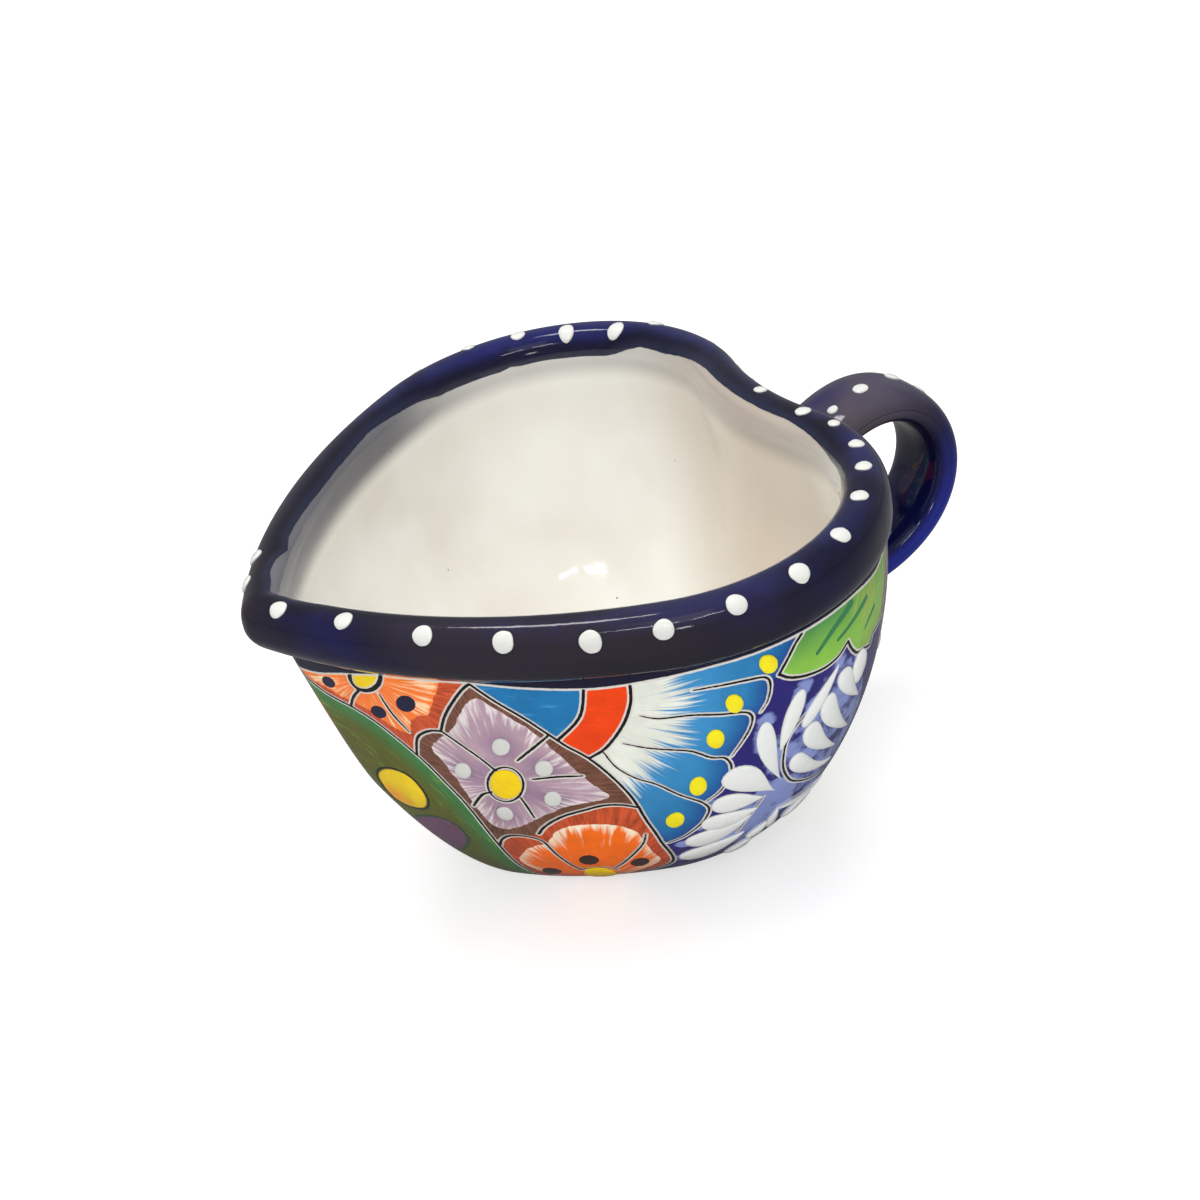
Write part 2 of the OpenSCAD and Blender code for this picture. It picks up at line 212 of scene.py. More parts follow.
def strap(t, a, grow=0.0):
    """Points of the strap at share t along it: 0 its near edge, 90 its outer face."""
    t, a, grow = np.broadcast_arrays(np.asarray(t, float), np.radians(np.asarray(a, float)),
                                     np.asarray(grow, float))
    p, c = STRAP_POINTS, np.clip(t, 0, 1)[..., None]
    centre = ((1 - c) ** 3 * p[0] + 3 * c * (1 - c) ** 2 * p[1]
              + 3 * c * c * (1 - c) * p[2] + c ** 3 * p[3])
    way = ((1 - c) ** 2 * (p[1] - p[0]) + 2 * c * (1 - c) * (p[2] - p[1])
           + c * c * (p[3] - p[2]))
    way = way / np.linalg.norm(way, axis=-1, keepdims=True)
    centre = centre + way * (t[..., None] - c) * STRAP_REACH
    across = (STRAP_W / 2 + grow) * signed_pow(np.cos(a), 2 / STRAP_POWER)
    up = (STRAP_T / 2 + grow) * signed_pow(np.sin(a), 2 / STRAP_POWER)
    return np.stack([centre[..., 0] - way[..., 1] * up, -across,
                     centre[..., 1] + way[..., 0] * up], -1)


def run_along(points):
    """Millimetres along a line of points, from its start to each of them."""
    return np.concatenate([[0], np.cumsum(np.linalg.norm(np.diff(points, axis=0), axis=1))])


def evenly(values, points, count):
    """Values that divide a line into even runs; each of its points belongs to a value."""
    run = run_along(points)
    return np.interp(np.linspace(0, run[-1], count), run, values)


def even_steps(count):
    """Steps round half the mouth that divide its outline evenly."""
    fine = np.linspace(0, HALF_STEPS, 40 * HALF_STEPS + 1)
    return evenly(fine, np.column_stack(outline(MOUTH, fine)), count)


def even_shares(count, last):
    """Shares down the wall, from the lip's seat to last, that divide its run evenly."""
    fine = np.linspace(SEAT_SHARE, last, 1200)
    return evenly(fine, wall(SIDE_STEP, fine), count)


# The camera, in millimetres

def camera_axes():
    a, e, r = (math.radians(v) for v in (CAM_AZIMUTH, CAM_ELEVATION, CAM_ROLL))
    back = np.array([math.sin(a) * math.cos(e), -math.cos(a) * math.cos(e), math.sin(e)])
    right = np.array([math.cos(a), math.sin(a), 0])
    up = np.cross(back, right)
    turned_right = math.cos(r) * right + math.sin(r) * up
    turned_up = -math.sin(r) * right + math.cos(r) * up
    return turned_right, turned_up, back


CAM_RIGHT, CAM_UP, CAM_BACK = camera_axes()
CAM_PLACE = CAM_TARGET + CAM_BACK * CAM_DISTANCE


def in_photo(points):
    """Where points show in the photograph, in its pixels."""
    v = np.asarray(points) - CAM_PLACE
    depth = -(v @ CAM_BACK)
    return np.stack([PHOTO_SIZE / 2 + FOCAL_PX * (v @ CAM_RIGHT) / depth,
                     PHOTO_SIZE / 2 - FOCAL_PX * (v @ CAM_UP) / depth], -1)


class Face:
    """A surface of the mug as the photograph sees it, at(u, v), searched from a grid."""

    def __init__(self, at, u, v, span):
        self.at, self.span = at, span
        self.u, self.v = np.meshgrid(u, v)
        points = at(self.u, self.v)
        out = np.cross(np.gradient(points, axis=1), np.gradient(points, axis=0))
        seen = ((CAM_PLACE - points) * out).sum(-1) > 0
        self.px = in_photo(points)
        self.px[~seen] = 1e6
        self.low = np.array([u.min(), v.min()])
        self.high = np.array([u.max(), v.max()])

    def find(self, px):
        """Where on the surface a pixel of the photograph lies, or the nearest place to it."""
        px = np.asarray(px, float)
        miss = np.linalg.norm(self.px - px, axis=-1)
        i, j = np.unravel_index(miss.argmin(), miss.shape)
        at, best = np.array([self.u[i, j], self.v[i, j]]), miss[i, j]
        for _ in range(12):
            probe = np.array([at, at + [self.span[0], 0], at + [0, self.span[1]]])
            seen = in_photo(self.at(probe[:, 0], probe[:, 1]))
            slope = np.column_stack([(seen[1] - seen[0]) / self.span[0],
                                     (seen[2] - seen[0]) / self.span[1]])
            step = np.linalg.lstsq(slope, px - seen[0], rcond=1e-3)[0]
            reach = np.array(self.span) * [50, 20]
            trial = np.clip(at + np.clip(step, -reach, reach), self.low, self.high)
            error = np.linalg.norm(in_photo(self.at(*trial)) - px)
            if error < best:
                at, best = trial, error
        return at


WALL_FACE = Face(wall, np.linspace(HALF_STEPS, RING_STEPS, 181), np.linspace(0, 1, 91),
                 (0.01, 0.001))
LIP_FACE = Face(lambda s, a: lip(s, -a), np.linspace(0, HALF_STEPS, 181),
                np.linspace(-236, 56, 147), (0.01, 0.05))


# Painting: places on the wall are unrolled into a flat chart, in millimetres

CHART_S = np.linspace(0, 1.1 * RING_STEPS, 44 * RING_STEPS + 1)
CHART_X = run_along(np.column_stack(outline(MOUTH, CHART_S)))
CHART_H = 80.0


def chart(s, t):
    return np.stack([np.interp(s, CHART_S, CHART_X), np.asarray(t) * CHART_H], -1)


def from_chart(p):
    return np.interp(p[..., 0], CHART_X, CHART_S), p[..., 1] / CHART_H


def place(p):
    """Chart place of a pixel, or of a share round and a share down where both are small."""
    if max(p) <= 2:
        return chart(p[0] * RING_STEPS, p[1])
    return chart(*WALL_FACE.find(p))


def smooth_line(points, step=0.5, closed=False):
    """A smooth line through the points, with a place about every step."""
    p = np.array([place(q) for q in points])
    if closed:
        p = np.vstack([p[-1], p, p[0], p[1]])
    else:
        p = np.vstack([2 * p[0] - p[1], p, 2 * p[-1] - p[-2]])
    out = []
    for k in range(1, len(p) - 2):
        a, b, c, d = p[k - 1:k + 3]
        count = max(2, int(np.linalg.norm(c - b) / step))
        u = (np.arange(count) / count)[:, None]
        out.append(0.5 * (2 * b + (c - a) * u + (2 * a - 5 * b + 4 * c - d) * u ** 2
                          + (3 * b - a - 3 * c + d) * u ** 3))
    if not closed:
        out.append(p[-2][None, :])
    return np.vstack(out)


def joined(*parts):
    """One closed outline from lines and single places that follow each other."""
    return np.vstack([p if isinstance(p, np.ndarray) else place(p) for p in parts])


def srgb(r, g, b):
    """A colour read as 0 to 255, as Blender mixes it."""
    c = np.array([r, g, b], float) / 255
    return np.where(c <= 0.04045, c / 12.92, ((c + 0.055) / 1.055) ** 2.4)


# Glazes as they show on the fired mug
BRICK = srgb(206, 84, 44)
DARK_BRICK = srgb(160, 58, 26)
PEACH = srgb(248, 124, 46)
PALE_PEACH = srgb(255, 214, 168)
ORANGE = srgb(255, 112, 4)
PALE_ORANGE = srgb(255, 236, 206)
CRESCENT_RED = srgb(232, 64, 0)
LILAC = srgb(178, 150, 164)
MAUVE = srgb(142, 112, 142)
PALE_LILAC = srgb(228, 218, 218)
BROWN = srgb(118, 77, 61)
FAN_BLUE = srgb(62, 142, 196)
DEEP_BLUE = srgb(26, 64, 140)
SKY = srgb(24, 112, 168)
BAND_WHITE = srgb(224, 227, 215)
LEAF_EDGE_GREEN = srgb(58, 122, 66)
LEAF_OLIVE = srgb(88, 92, 24)
OVAL_INK = srgb(22, 24, 14)
OLIVE_YELLOW = srgb(164, 172, 74)
BAND_COBALT = srgb(20, 20, 44)
SPRING = srgb(136, 194, 72)
DARK_LEAF = srgb(52, 122, 74)
COBALT_PAINT = srgb(38, 32, 110)
PERIWINKLE = srgb(134, 148, 204)
YELLOW = srgb(240, 206, 12)
AMBER = srgb(238, 160, 16)
PLUM = srgb(104, 70, 96)
PLUM_RIM = LEAF_EDGE_GREEN * 0.35
NAVY = srgb(26, 22, 54)
SOOT = srgb(46, 26, 22)

# Painted lines: how far from one its distance is known, and widths in millimetres
FAR = 3.0
LINE_W = 0.56
VEIN_W = 0.54
RIB_W = 0.44
HALO_W = 0.34
OVAL_RIM = 0.75

# Lines of the painted pattern on the near side, as pixels of the photograph. A place where
# the photograph can't see is given as its share of the way round and its share down.
LEAF_EDGE = [(1.0, 0.02), (301, 672), (325, 692), (354, 708), (380, 725), (417, 755),
             (443, 780), (471, 810), (500, 846), (0.928, 0.94), (0.926, 1.0)]
PEACH_RIGHT = [(469, 684), (461.6, 690), (450, 706), (444, 718), (441, 731)]
LILAC_CORNER = [(441, 731), (429, 731), (419, 735.5), (416.6, 743), (417, 755)]
LILAC_RIGHT = [(469, 684), (494.7, 701.4), (523, 718), (546, 733), (566, 746), (589, 758.6),
               (611, 776), (629, 794), (639, 807.5)]
FLOWER_TOP = [(639, 807.5), (620.8, 805), (602.5, 805.8), (582.6, 810.8), (562.7, 816.6),
              (546, 825.7), (538.7, 834)]
SMALL_PETAL = [(500, 846), (502.5, 839), (511, 835.7), (526, 836.5), (542.8, 841.5),
               (556, 854), (571, 864.7), (581, 869.7)]
FLOWER_RIGHT = [(639, 807.5), (645.6, 819), (660.6, 840.7), (672, 862), (0.842, 0.93),
                (0.850, 1.0)]
CRESCENT_LEFT = [(583.5, 688), (582.6, 706), (579, 718), (571, 728), (558, 740)]
CRESCENT_RIGHT = [(629.9, 684), (630.7, 701.4), (625.7, 719.6), (615.8, 736.2), (604, 749.5),
                  (589, 758.6)]
FAN_TOP = [(800, 628), (795.3, 644), (787.7, 659), (779, 674.5)]
FAN_EDGE = [(779, 674.5), (771, 682), (770, 691), (768, 700), (761, 712), (752.5, 716),
            (751, 726), (744, 739), (731.5, 756), (732, 766), (729, 778), (720, 791.5),
            (708.5, 801.5), (708, 814), (699, 826), (684, 837), (670, 843), (661, 841)]
PETAL_RIBS = [
    [(692, 690.5), (711.8, 687.2), (733.5, 683), (755, 678.5), (766, 677.5), (770.5, 684),
     (768, 700), (760.6, 712)],
    [(640, 716), (657.6, 718.7), (690, 715.4), (722.6, 714.3), (744.3, 712.2), (752, 716),
     (751, 726), (744, 739), (731.3, 756.6)],
    [(622.9, 743.6), (646.7, 748), (672.8, 750), (692, 751.5), (711.8, 757.7), (724.8, 758),
     (731.5, 766), (729, 778), (720, 791.5), (706, 802)],
    [(603.4, 752.3), (616.4, 767.4), (636, 778.3), (657.6, 784.8), (681.4, 795.6),
     (701, 802), (709, 808), (707, 816), (698.8, 826), (683.6, 836.8), (668, 843)]]
GREEN_EDGE = [(779, 674.5), (789.8, 677.5), (807, 675.3), (826.7, 666.6), (839.7, 654.7),
              (848, 641)]
GREEN_LOBE = [(848, 641), (851.6, 648.2), (857, 652.5), (863.6, 648.2), (870, 644),
              (0.688, 0.20), (0.676, 0.19), (0.668, 0.10), (0.664, 0.0)]
BAND_EDGE = [(1.06, 0.0), (301, 668), (345, 674), (382, 675.5), (422, 680), (469, 683.5),
             (524, 688.5), (585, 689.5), (620, 686), (665, 678), (708, 665), (740, 654),
             (762, 647), (799, 630), (824, 616), (854, 593), (875, 572), (0.664, -0.006)]
CURL = [(806, 714), (794.2, 728.4), (785.5, 745.8), (783.3, 767.4), (789.8, 779.4),
        (800.7, 780.5), (811.5, 777.2), (822, 770)]
STEM = [(764, 796), (756, 807), (747, 819), (737, 832)]
CURL_WASH = CURL[:5] + [(802, 782), (822, 774), (842, 740), (858, 704), (862, 672),
                        (846, 662), (828, 690)]
STEM_WASH = [(766, 784), (784, 776), (796, 786), (788, 800), (770, 820), (752, 836),
             (730, 844), (716, 848), (734, 822), (750, 800)]
FEATHER_END = [(0.672, 0.17), (0.666, 0.40), (0.672, 0.66), (0.690, 0.80), (0.700, 1.0)]
PEACH_PETALS = [(1.0, -0.03), (1.0, 0.0), (301, 668), (313, 680), (330, 689.5), (346, 698.5),
                (352, 702), (362, 706), (377, 715), (393, 727), (409, 733), (411, 722),
                (419, 716.5), (428, 714), (432.5, 700), (437, 691), (440, 681), (452, 668)]
LILAC_PETALS = [(452, 729), (459, 716), (466, 704), (474, 699), (481, 700), (500, 712),
                (525, 727), (542, 739), (552, 749), (570, 765), (592, 784), (609, 797),
                (585, 803), (565, 807), (553, 812), (536, 819.5), (520, 827), (505, 829),
                (492, 824), (478, 809), (460, 784), (446, 765), (434, 752), (433, 745),
                (440, 739)]
TOP_PETALS = [(547, 843), (556, 832), (568, 827), (584, 825), (604, 824.5), (624, 827),
              (638, 833), (644, 841), (652, 851), (658, 862), (0.856, 0.95), (0.868, 1.0),
              (0.905, 1.0), (0.914, 0.93), (522, 862), (524, 852), (533, 846.5)]
BRICK_SLIVER = [(304, 676), (315, 692), (330, 716), (343, 738), (354, 756), (1.0, 0.5)]
LEAF_OVAL = [(379, 775), (385, 769.5), (397, 771), (409, 777), (419, 787), (426, 799),
             (424, 807), (411, 806), (397, 799), (386, 788)]
PLUM_OVAL = [(411, 819), (428, 816.5), (446, 820), (460, 829), (467, 839), (463, 847),
             (448, 846), (430, 836)]
BACK_PANEL = [(0.664, 0.0), (0.672, 0.17), (0.666, 0.40), (0.662, 0.62), (0.642, 0.74),
              (0.612, 0.75), (0.590, 0.64), (0.583, 0.40), (0.589, 0.14), (0.594, 0.0)]
BACK_PETALS = [(0.650, 0.10), (0.658, 0.22), (0.656, 0.40), (0.650, 0.58), (0.636, 0.67),
               (0.616, 0.68), (0.600, 0.59), (0.593, 0.40), (0.597, 0.22), (0.606, 0.11),
               (0.628, 0.07)]
CLEFT_PANEL = [(0.583, 0.40), (0.575, 0.58), (0.552, 0.70), (0.524, 0.74), (0.5, 0.74)]
CLEFT_ARC = [(0.5, 0.50), (0.522, 0.48), (0.537, 0.40), (0.543, 0.28), (0.541, 0.14),
             (0.537, 0.0)]
CLEFT_RIBS = [[(0.556, 0.12), (0.574, 0.14), (0.589, 0.13)],
              [(0.553, 0.30), (0.570, 0.34), (0.584, 0.36)],
              [(0.545, 0.46), (0.560, 0.56), (0.568, 0.62)],
              [(0.524, 0.56), (0.530, 0.66), (0.533, 0.73)]]
CLEFT_SPOTS = [(0.577, 0.05), (0.575, 0.24), (0.568, 0.47), (0.548, 0.62), (0.515, 0.66)]
LOW_OVALS = [(0.5385, 0.87, 6.8, 4.6, 8.0), (0.5905, 0.86, 8.4, 4.8, -14.0),
             (0.648, 0.89, 8.0, 4.4, -20.0)]
FAR_YELLOW = (0.962, 0.31, 10.0, 7.0, 70.0)
FAR_PLUM = (0.948, 0.54, 9.0, 6.0, 50.0)
BACK_CENTRE = (0.628, 0.41)
BACK_EYE = (*BACK_CENTRE, 7.0, 6.8, 0)

# Ovals of the photograph: pixel x, y, width, height and tilt
AMBER_POOL = (394, 798, 24, 12, 40)
PEACH_SPOTS = [(328.6, 682, 15, 9, 36), (378.6, 712, 17, 11, 28), (405.7, 703.7, 20, 16, 18)]
PEACH_EYE = (365, 676, 31, 29, 20)
LILAC_EYE = (505.5, 784.5, 36, 34, 20)
ORANGE_SPOTS = [(589, 860, 20, 9.5, 2), (640, 862, 19, 8, -8), (552, 871, 20, 6, 6)]

# Pixels that brush streaks run out from
PEACH_CENTRE = (364, 677)
LILAC_CENTRE = (505, 784)
FAN_ROOT = (566, 706)
ORANGE_ROOT = (600, 876)

# Lines within the flowers: pixels, width, and the share of it that is left at their ends
PEACH_LINES = [([(359, 690), (353.5, 697), (351, 706)], LINE_W, 1.0),
               ([(379, 694), (392, 713.5), (409, 732)], LINE_W, 0.5)]
LILAC_LINES = [([(441, 731), (459, 743.5), (479.6, 758), (496, 771)], VEIN_W, 1.0),
               ([(517, 761), (532, 749), (548, 736)], VEIN_W, 0.7),
               ([(532, 779.5), (557, 777), (583, 776)], VEIN_W, 0.6),
               ([(521, 798), (528, 808), (534.5, 818)], VEIN_W, 0.7),
               ([(492, 792), (482, 795), (473.5, 806)], LINE_W, 0.7)]
ORANGE_LINES = [
    (SMALL_PETAL, LINE_W, 1.0),
    ([(646, 834), (643.5, 843), (636, 852), (626, 861), (616, 868)], RIB_W, 0.6),
    ([(581, 869.7), (590, 868), (600, 867.5), (610, 867.5), (617, 869.5)], RIB_W, 1.0)]
GREEN_VEINS = [([(851, 603), (833, 630), (817.5, 653)], 1.5),
               ([(866, 598), (852, 622), (838, 640)], 1.2),
               ([(874, 606), (869, 618), (865, 628)], 1.0)]

# Middles of the raised dots on the wall, those of the photograph's side first
FAN_DOTS = [(768.5, 664), (734.5, 703.5), (715.5, 739), (698, 786), (675, 820)]
SEEN_PETAL_DOTS = [(501, 747), (544, 768.6), (553, 799), (505, 813.5), (463, 770.6)]
PETAL_DOTS = SEEN_PETAL_DOTS + [(0.628, 0.24), (0.605, 0.36), (0.616, 0.55), (0.641, 0.55),
                                (0.652, 0.36)]
CENTRES = [(505.5, 784.5), (600, 873), BACK_CENTRE]

# Raised strokes of the feather in the photograph: head, middle and tail, width, and how
# thin the tail is drawn
FEATHER_DROPS = [
    ((803, 689), (790, 718), (780, 751), 13, 0.4), ((766, 722), (764, 746), (781, 780), 19, 0.7),
    ((727, 773), (749, 780), (776, 790), 33, 1.1), ((712, 804), (738, 802), (763, 796), 17, 0.6),
    ((701, 826), (730, 818), (758, 807), 13, 0.5), ((685, 844), (718, 834), (751, 814), 12, 0.5),
    ((680, 858), (712, 848), (744, 831), 9, 0.5), ((803, 728), (818, 699), (839, 664), 10, 0.5),
    ((860, 651), (859, 667), (857, 682), 12, 0.2), ((847, 666), (841, 685), (858, 694), 13, 0.3),
    ((831, 693), (825, 713), (847, 724), 15, 0.3), ((813, 721), (808, 741), (835, 743), 17, 0.35),
    ((798, 753), (794, 770), (831, 756), 17, 0.4), ((783, 805), (796, 788), (823, 774), 10, 0.4),
    ((788, 809), (801, 803), (815, 793), 7, 0.4), ((768, 825), (771, 815), (778, 807), 9, 0.4),
    ((750, 836), (757, 828), (766, 821), 8, 0.4), ((730, 850), (740, 843), (751, 836), 7, 0.5)]


class Painting:
    """What is painted at each place of a grid on the near half of the wall."""

    def __init__(self, s, t):
        self.chart = chart(s, t)
        self.points = wall(s, t)
        count = len(self.points)
        self.paint = np.tile(COBALT_PAINT, (count, 1))
        self.wash = np.tile(PERIWINKLE, (count, 1))
        self.amount = np.zeros(count)
        self.brush = self.points * np.array([0.4, 0.4, 0.9])
        self.border = np.full(count, FAR)
        self.border_paint = np.tile(BRICK, (count, 1))
        self.spot = np.full(count, FAR)
        self.spot_paint = np.tile(NAVY, (count, 1))
        self.ink = np.full(count, FAR)

    def near(self, line, reach):
        """Places in the box round a line, with room for its reach."""
        low, high = line.min(0) - 1.6 * reach, line.max(0) + 1.6 * reach
        return np.all((self.chart >= low) & (self.chart <= high), axis=1)

    def inside(self, shape):
        """Places inside a closed outline of the chart."""
        found = np.zeros(len(self.chart), bool)
        close = np.flatnonzero(self.near(shape, 0))
        x, y = self.chart[close].T
        odd = np.zeros(len(close), bool)
        for (x0, y0), (x1, y1) in zip(shape, np.roll(shape, -1, axis=0)):
            if y0 == y1:
                continue
            crosses = (y0 > y) != (y1 > y)
            odd ^= crosses & (x < x0 + (y - y0) * (x1 - x0) / (y1 - y0))
        found[close] = odd
        return found

    def distance(self, line, reach=FAR, closed=False):
        """Millimetres to a line on the wall, and the share along it of the nearest place."""
        if closed:
            line = np.vstack([line, line[:1]])
        far = np.full(len(self.chart), reach)
        share = np.zeros(len(self.chart))
        close = np.flatnonzero(self.near(line, reach))
        if not len(close):
            return far, share
        ends = wall(*from_chart(line))
        p = self.points[close]
        best, where = np.full(len(close), reach), np.zeros(len(close))
        for k, (a, b) in enumerate(zip(ends[:-1], ends[1:])):
            run = b - a
            along = np.clip(((p - a) @ run) / max(run @ run, 1e-12), 0, 1)
            d = np.linalg.norm(p - a - along[:, None] * run, axis=1)
            better = d < best
            best[better] = d[better]
            where[better] = (k + along[better]) / (len(ends) - 1)
        far[close] = best
        share[close] = where
        return far, share

    def signed(self, shape, reach=FAR):
        """Millimetres to a closed outline, less than 0 inside it."""
        d, _ = self.distance(shape, reach, closed=True)
        return np.where(self.inside(shape), -d, d)

    def polar(self, centre):
        """Angle and millimetres from a centre, along the wall."""
        s, t = from_chart(place(centre))
        at = wall(s, t)
        across = wall(s + 0.05, t) - at
        across /= np.linalg.norm(across)
        down = wall(s, t + 0.002) - at
        down -= across * (down @ across)
        down /= np.linalg.norm(down)
        v = self.points - at
        x, y = v @ across, v @ down
        return np.arctan2(y, x), np.linalg.norm(v, axis=1)

    def fill(self, mask, paint, wash=None, amount=0.0, brush=None):
        """Paints places with a colour and a wash that shows in brush streaks."""
        n = len(self.chart)
        self.paint[mask] = np.broadcast_to(paint, (n, 3))[mask]
        if wash is not None:
            self.wash[mask] = np.broadcast_to(wash, (n, 3))[mask]
        self.amount[mask] = np.broadcast_to(amount, n)[mask]
        if brush is not None:
            self.brush[mask] = brush[mask]

    def rays(self, centre, fineness, stretch=0.12, seed=0.0):
        """Brush streaks that run out from a centre."""
        angle, radius = self.polar(centre)
        return np.column_stack([fineness * np.cos(angle), fineness * np.sin(angle),
                                stretch * radius + seed])

    def edge(self, mask, signed, paint):
        """A border band, painted where signed is below 0."""
        self.border[mask] = signed[mask]
        self.border_paint[mask] = paint

    def line(self, line, width=LINE_W, taper=1.0, closed=False):
        """A dark line, drawn down to the share taper of its width at its ends."""
        d, share = self.distance(line, closed=closed)
        swell = taper + (1 - taper) * np.sin(np.pi * np.clip(share, 0, 1)) ** 0.6
        self.ink = np.minimum(self.ink, d - width / 2 * swell)

    def draw(self, rows):
        """Dark lines from rows of places, width and taper."""
        for points, width, taper in rows:
            self.line(smooth_line(points), width, taper)

    def bare(self, line):
        """A thin pale line, where glaze draws back from an edge."""
        d, _ = self.distance(line)
        self.ink = np.minimum(self.ink, d + 0.12)

    def rimmed(self, shape, paint, rim):
        """A flat spot with a rim of another colour round it, and no pale line."""
        signed = self.signed(shape)
        closer = signed - OVAL_RIM < self.spot
        self.spot = np.where(closer, signed - OVAL_RIM, self.spot)
        paint = np.broadcast_to(paint, self.spot_paint.shape)[closer]
        self.spot_paint[closer] = mix(paint, rim, ramp(signed[closer], -0.1, 0.12))

    def spots(self, shape, paint, outlined=0.0):
        """A flat spot, with a dark line round it where outlined is its width."""
        self.mark(self.signed(shape), paint)
        if outlined:
            self.line(shape, outlined, closed=True)

    def mark(self, signed, paint, area=True):
        """Paints the spots' layer where signed is the lowest yet."""
        closer = (signed < self.spot) & area
        self.spot = np.where(closer, signed, self.spot)
        self.spot_paint[closer] = paint


def oval(length, height, tilt, count):
    """Places round an oval about 0, 0, in two columns."""
    turn = math.radians(tilt)
    a = np.linspace(0, 2 * math.pi, count, endpoint=False)
    u, v = length / 2 * np.cos(a), height / 2 * np.sin(a)
    return np.column_stack([u * math.cos(turn) - v * math.sin(turn),
                            u * math.sin(turn) + v * math.cos(turn)])


def photo_oval(x, y, width, height, tilt):
    """Closed outline of an oval that the photograph shows at pixel x, y."""
    return smooth_line(oval(width, height, tilt, 20) + [x, y], 0.3, closed=True)


def wall_oval(round_share, down_share, length, height, tilt):
    """Closed outline of an oval at a place on the wall, with its sizes in millimetres."""
    s = round_share * RING_STEPS
    ends = np.array([s - 0.1, s + 0.1])
    on_wall = np.linalg.norm(np.diff(wall(ends, down_share), axis=0))
    shrink = on_wall / np.diff(chart(ends, [0, 0])[:, 0])[0]
    return chart(s, down_share) + oval(length, height, tilt, 40) / [shrink, 1]


def mix(a, b, w):
    """Colour a to colour b by weights w."""
    w = np.clip(np.asarray(w, float), 0, 1)[..., None]
    return a * (1 - w) + b * w


def ramp(x, low, high):
    """0 at low, 1 at high, and the share between them in between."""
    return np.clip((x - low) / (high - low), 0, 1)


def border_lines():
    names = dict(leaf=LEAF_EDGE, peach=PEACH_RIGHT, corner=LILAC_CORNER, lilac=LILAC_RIGHT,
                 top=FLOWER_TOP, right=FLOWER_RIGHT, left=CRESCENT_LEFT,
                 crescent=CRESCENT_RIGHT, fan_top=FAN_TOP, fan=FAN_EDGE, green=GREEN_EDGE,
                 lobe=GREEN_LOBE, end=FEATHER_END, cleft=CLEFT_PANEL, panel=BACK_PANEL,
                 arc=CLEFT_ARC, under=[FLOWER_TOP[-1], *SMALL_PETAL[3::-1]])
    return {name: smooth_line(points) for name, points in names.items()}


def paint_leaf(p, lines, far):
    """The long green leaf under the tip; its far half has ovals of its own."""
    area = p.inside(joined(lines["leaf"], (1.0, 1.0), (1.06, 1.0), (1.06, -0.02)))
    edge, _ = p.distance(lines["leaf"], 16.0)
    along = np.column_stack([0.1 * p.chart[:, 0], 0.9 * edge, 0.1 * p.chart[:, 1]])
    p.fill(area, mix(LEAF_EDGE_GREEN, LEAF_OLIVE, ramp(edge, 1.5, 6.5)), SPRING * 0.6,
           0.12, along)
    tip = p.inside(joined(smooth_line(BRICK_SLIVER), (1.06, 0.7), (1.06, -0.1), (1.0, 0.0)))
    p.fill(area & tip, BRICK * 0.9, DARK_BRICK, 0.4, along)
    p.rimmed(smooth_line(PLUM_OVAL, 0.3, closed=True), PLUM, PLUM_RIM)
    if far:
        p.rimmed(wall_oval(*FAR_YELLOW), YELLOW, OVAL_INK)
        p.rimmed(wall_oval(*FAR_PLUM), PLUM, PLUM_RIM)
        return
    low = p.signed(photo_oval(*AMBER_POOL), 6.0)
    p.rimmed(smooth_line(LEAF_OVAL, 0.3, closed=True),
             mix(YELLOW, AMBER, ramp(-low, -4.0, 1.0)), OVAL_INK)


def paint_peach(p, lines):
    """The peach flower under the lip beside the tip."""
    leaf = lines["leaf"][:len(smooth_line(LEAF_EDGE[:6]))]
    area = p.inside(joined(leaf[::-1], (1.06, 0.0), (1.06, -0.05), (0.85, -0.05),
                           lines["peach"], lines["corner"]))
    petals = p.signed(smooth_line(PEACH_PETALS, closed=True), 8.0)
    _, radius = p.polar(PEACH_CENTRE)
    pale = ramp(radius, 3.5, 13.0) * ramp(-petals, -1.0, 1.0)
    p.fill(area, mix(PEACH * 0.95, PEACH, ramp(radius, 2, 8)), PALE_PEACH,
           0.12 + 0.46 * pale ** 1.5, p.rays(PEACH_CENTRE, 16.0, seed=3.0))
    p.edge(area, -petals, BRICK)
    for spot in PEACH_SPOTS:
        p.spots(photo_oval(*spot), NAVY)
    p.spots(photo_oval(*PEACH_EYE), YELLOW, 0.9)
    p.draw(PEACH_LINES)


def paint_lilac(p, lines):
    """The lilac flower in its brown brushed frame."""
    area = p.inside(joined(lines["lilac"], lines["top"], lines["under"],
                           smooth_line(LEAF_EDGE[5:9])[::-1], lines["corner"][::-1],
                           lines["peach"][::-1]))
    petals = p.signed(smooth_line(LILAC_PETALS, closed=True), 8.0)
    _, radius = p.polar(LILAC_CENTRE)
    shade = np.zeros(len(radius))
    for dot in SEEN_PETAL_DOTS:
        _, away = p.polar(dot)
        shade = np.maximum(shade, ramp(away, 5.0, 1.5))
    ground = mix(mix(MAUVE, LILAC, ramp(radius, 2.5, 8.0)), MAUVE, 0.75 * shade)
    p.fill(area, ground, PALE_LILAC, 0.06 + 0.46 * ramp(-petals, 6.0, 0.0) ** 1.4,
           p.rays(LILAC_CENTRE, 19.0, seed=8.0))
    p.edge(area, -petals, BROWN)
    p.line(photo_oval(*LILAC_EYE), RIB_W, closed=True)
    p.draw(LILAC_LINES)


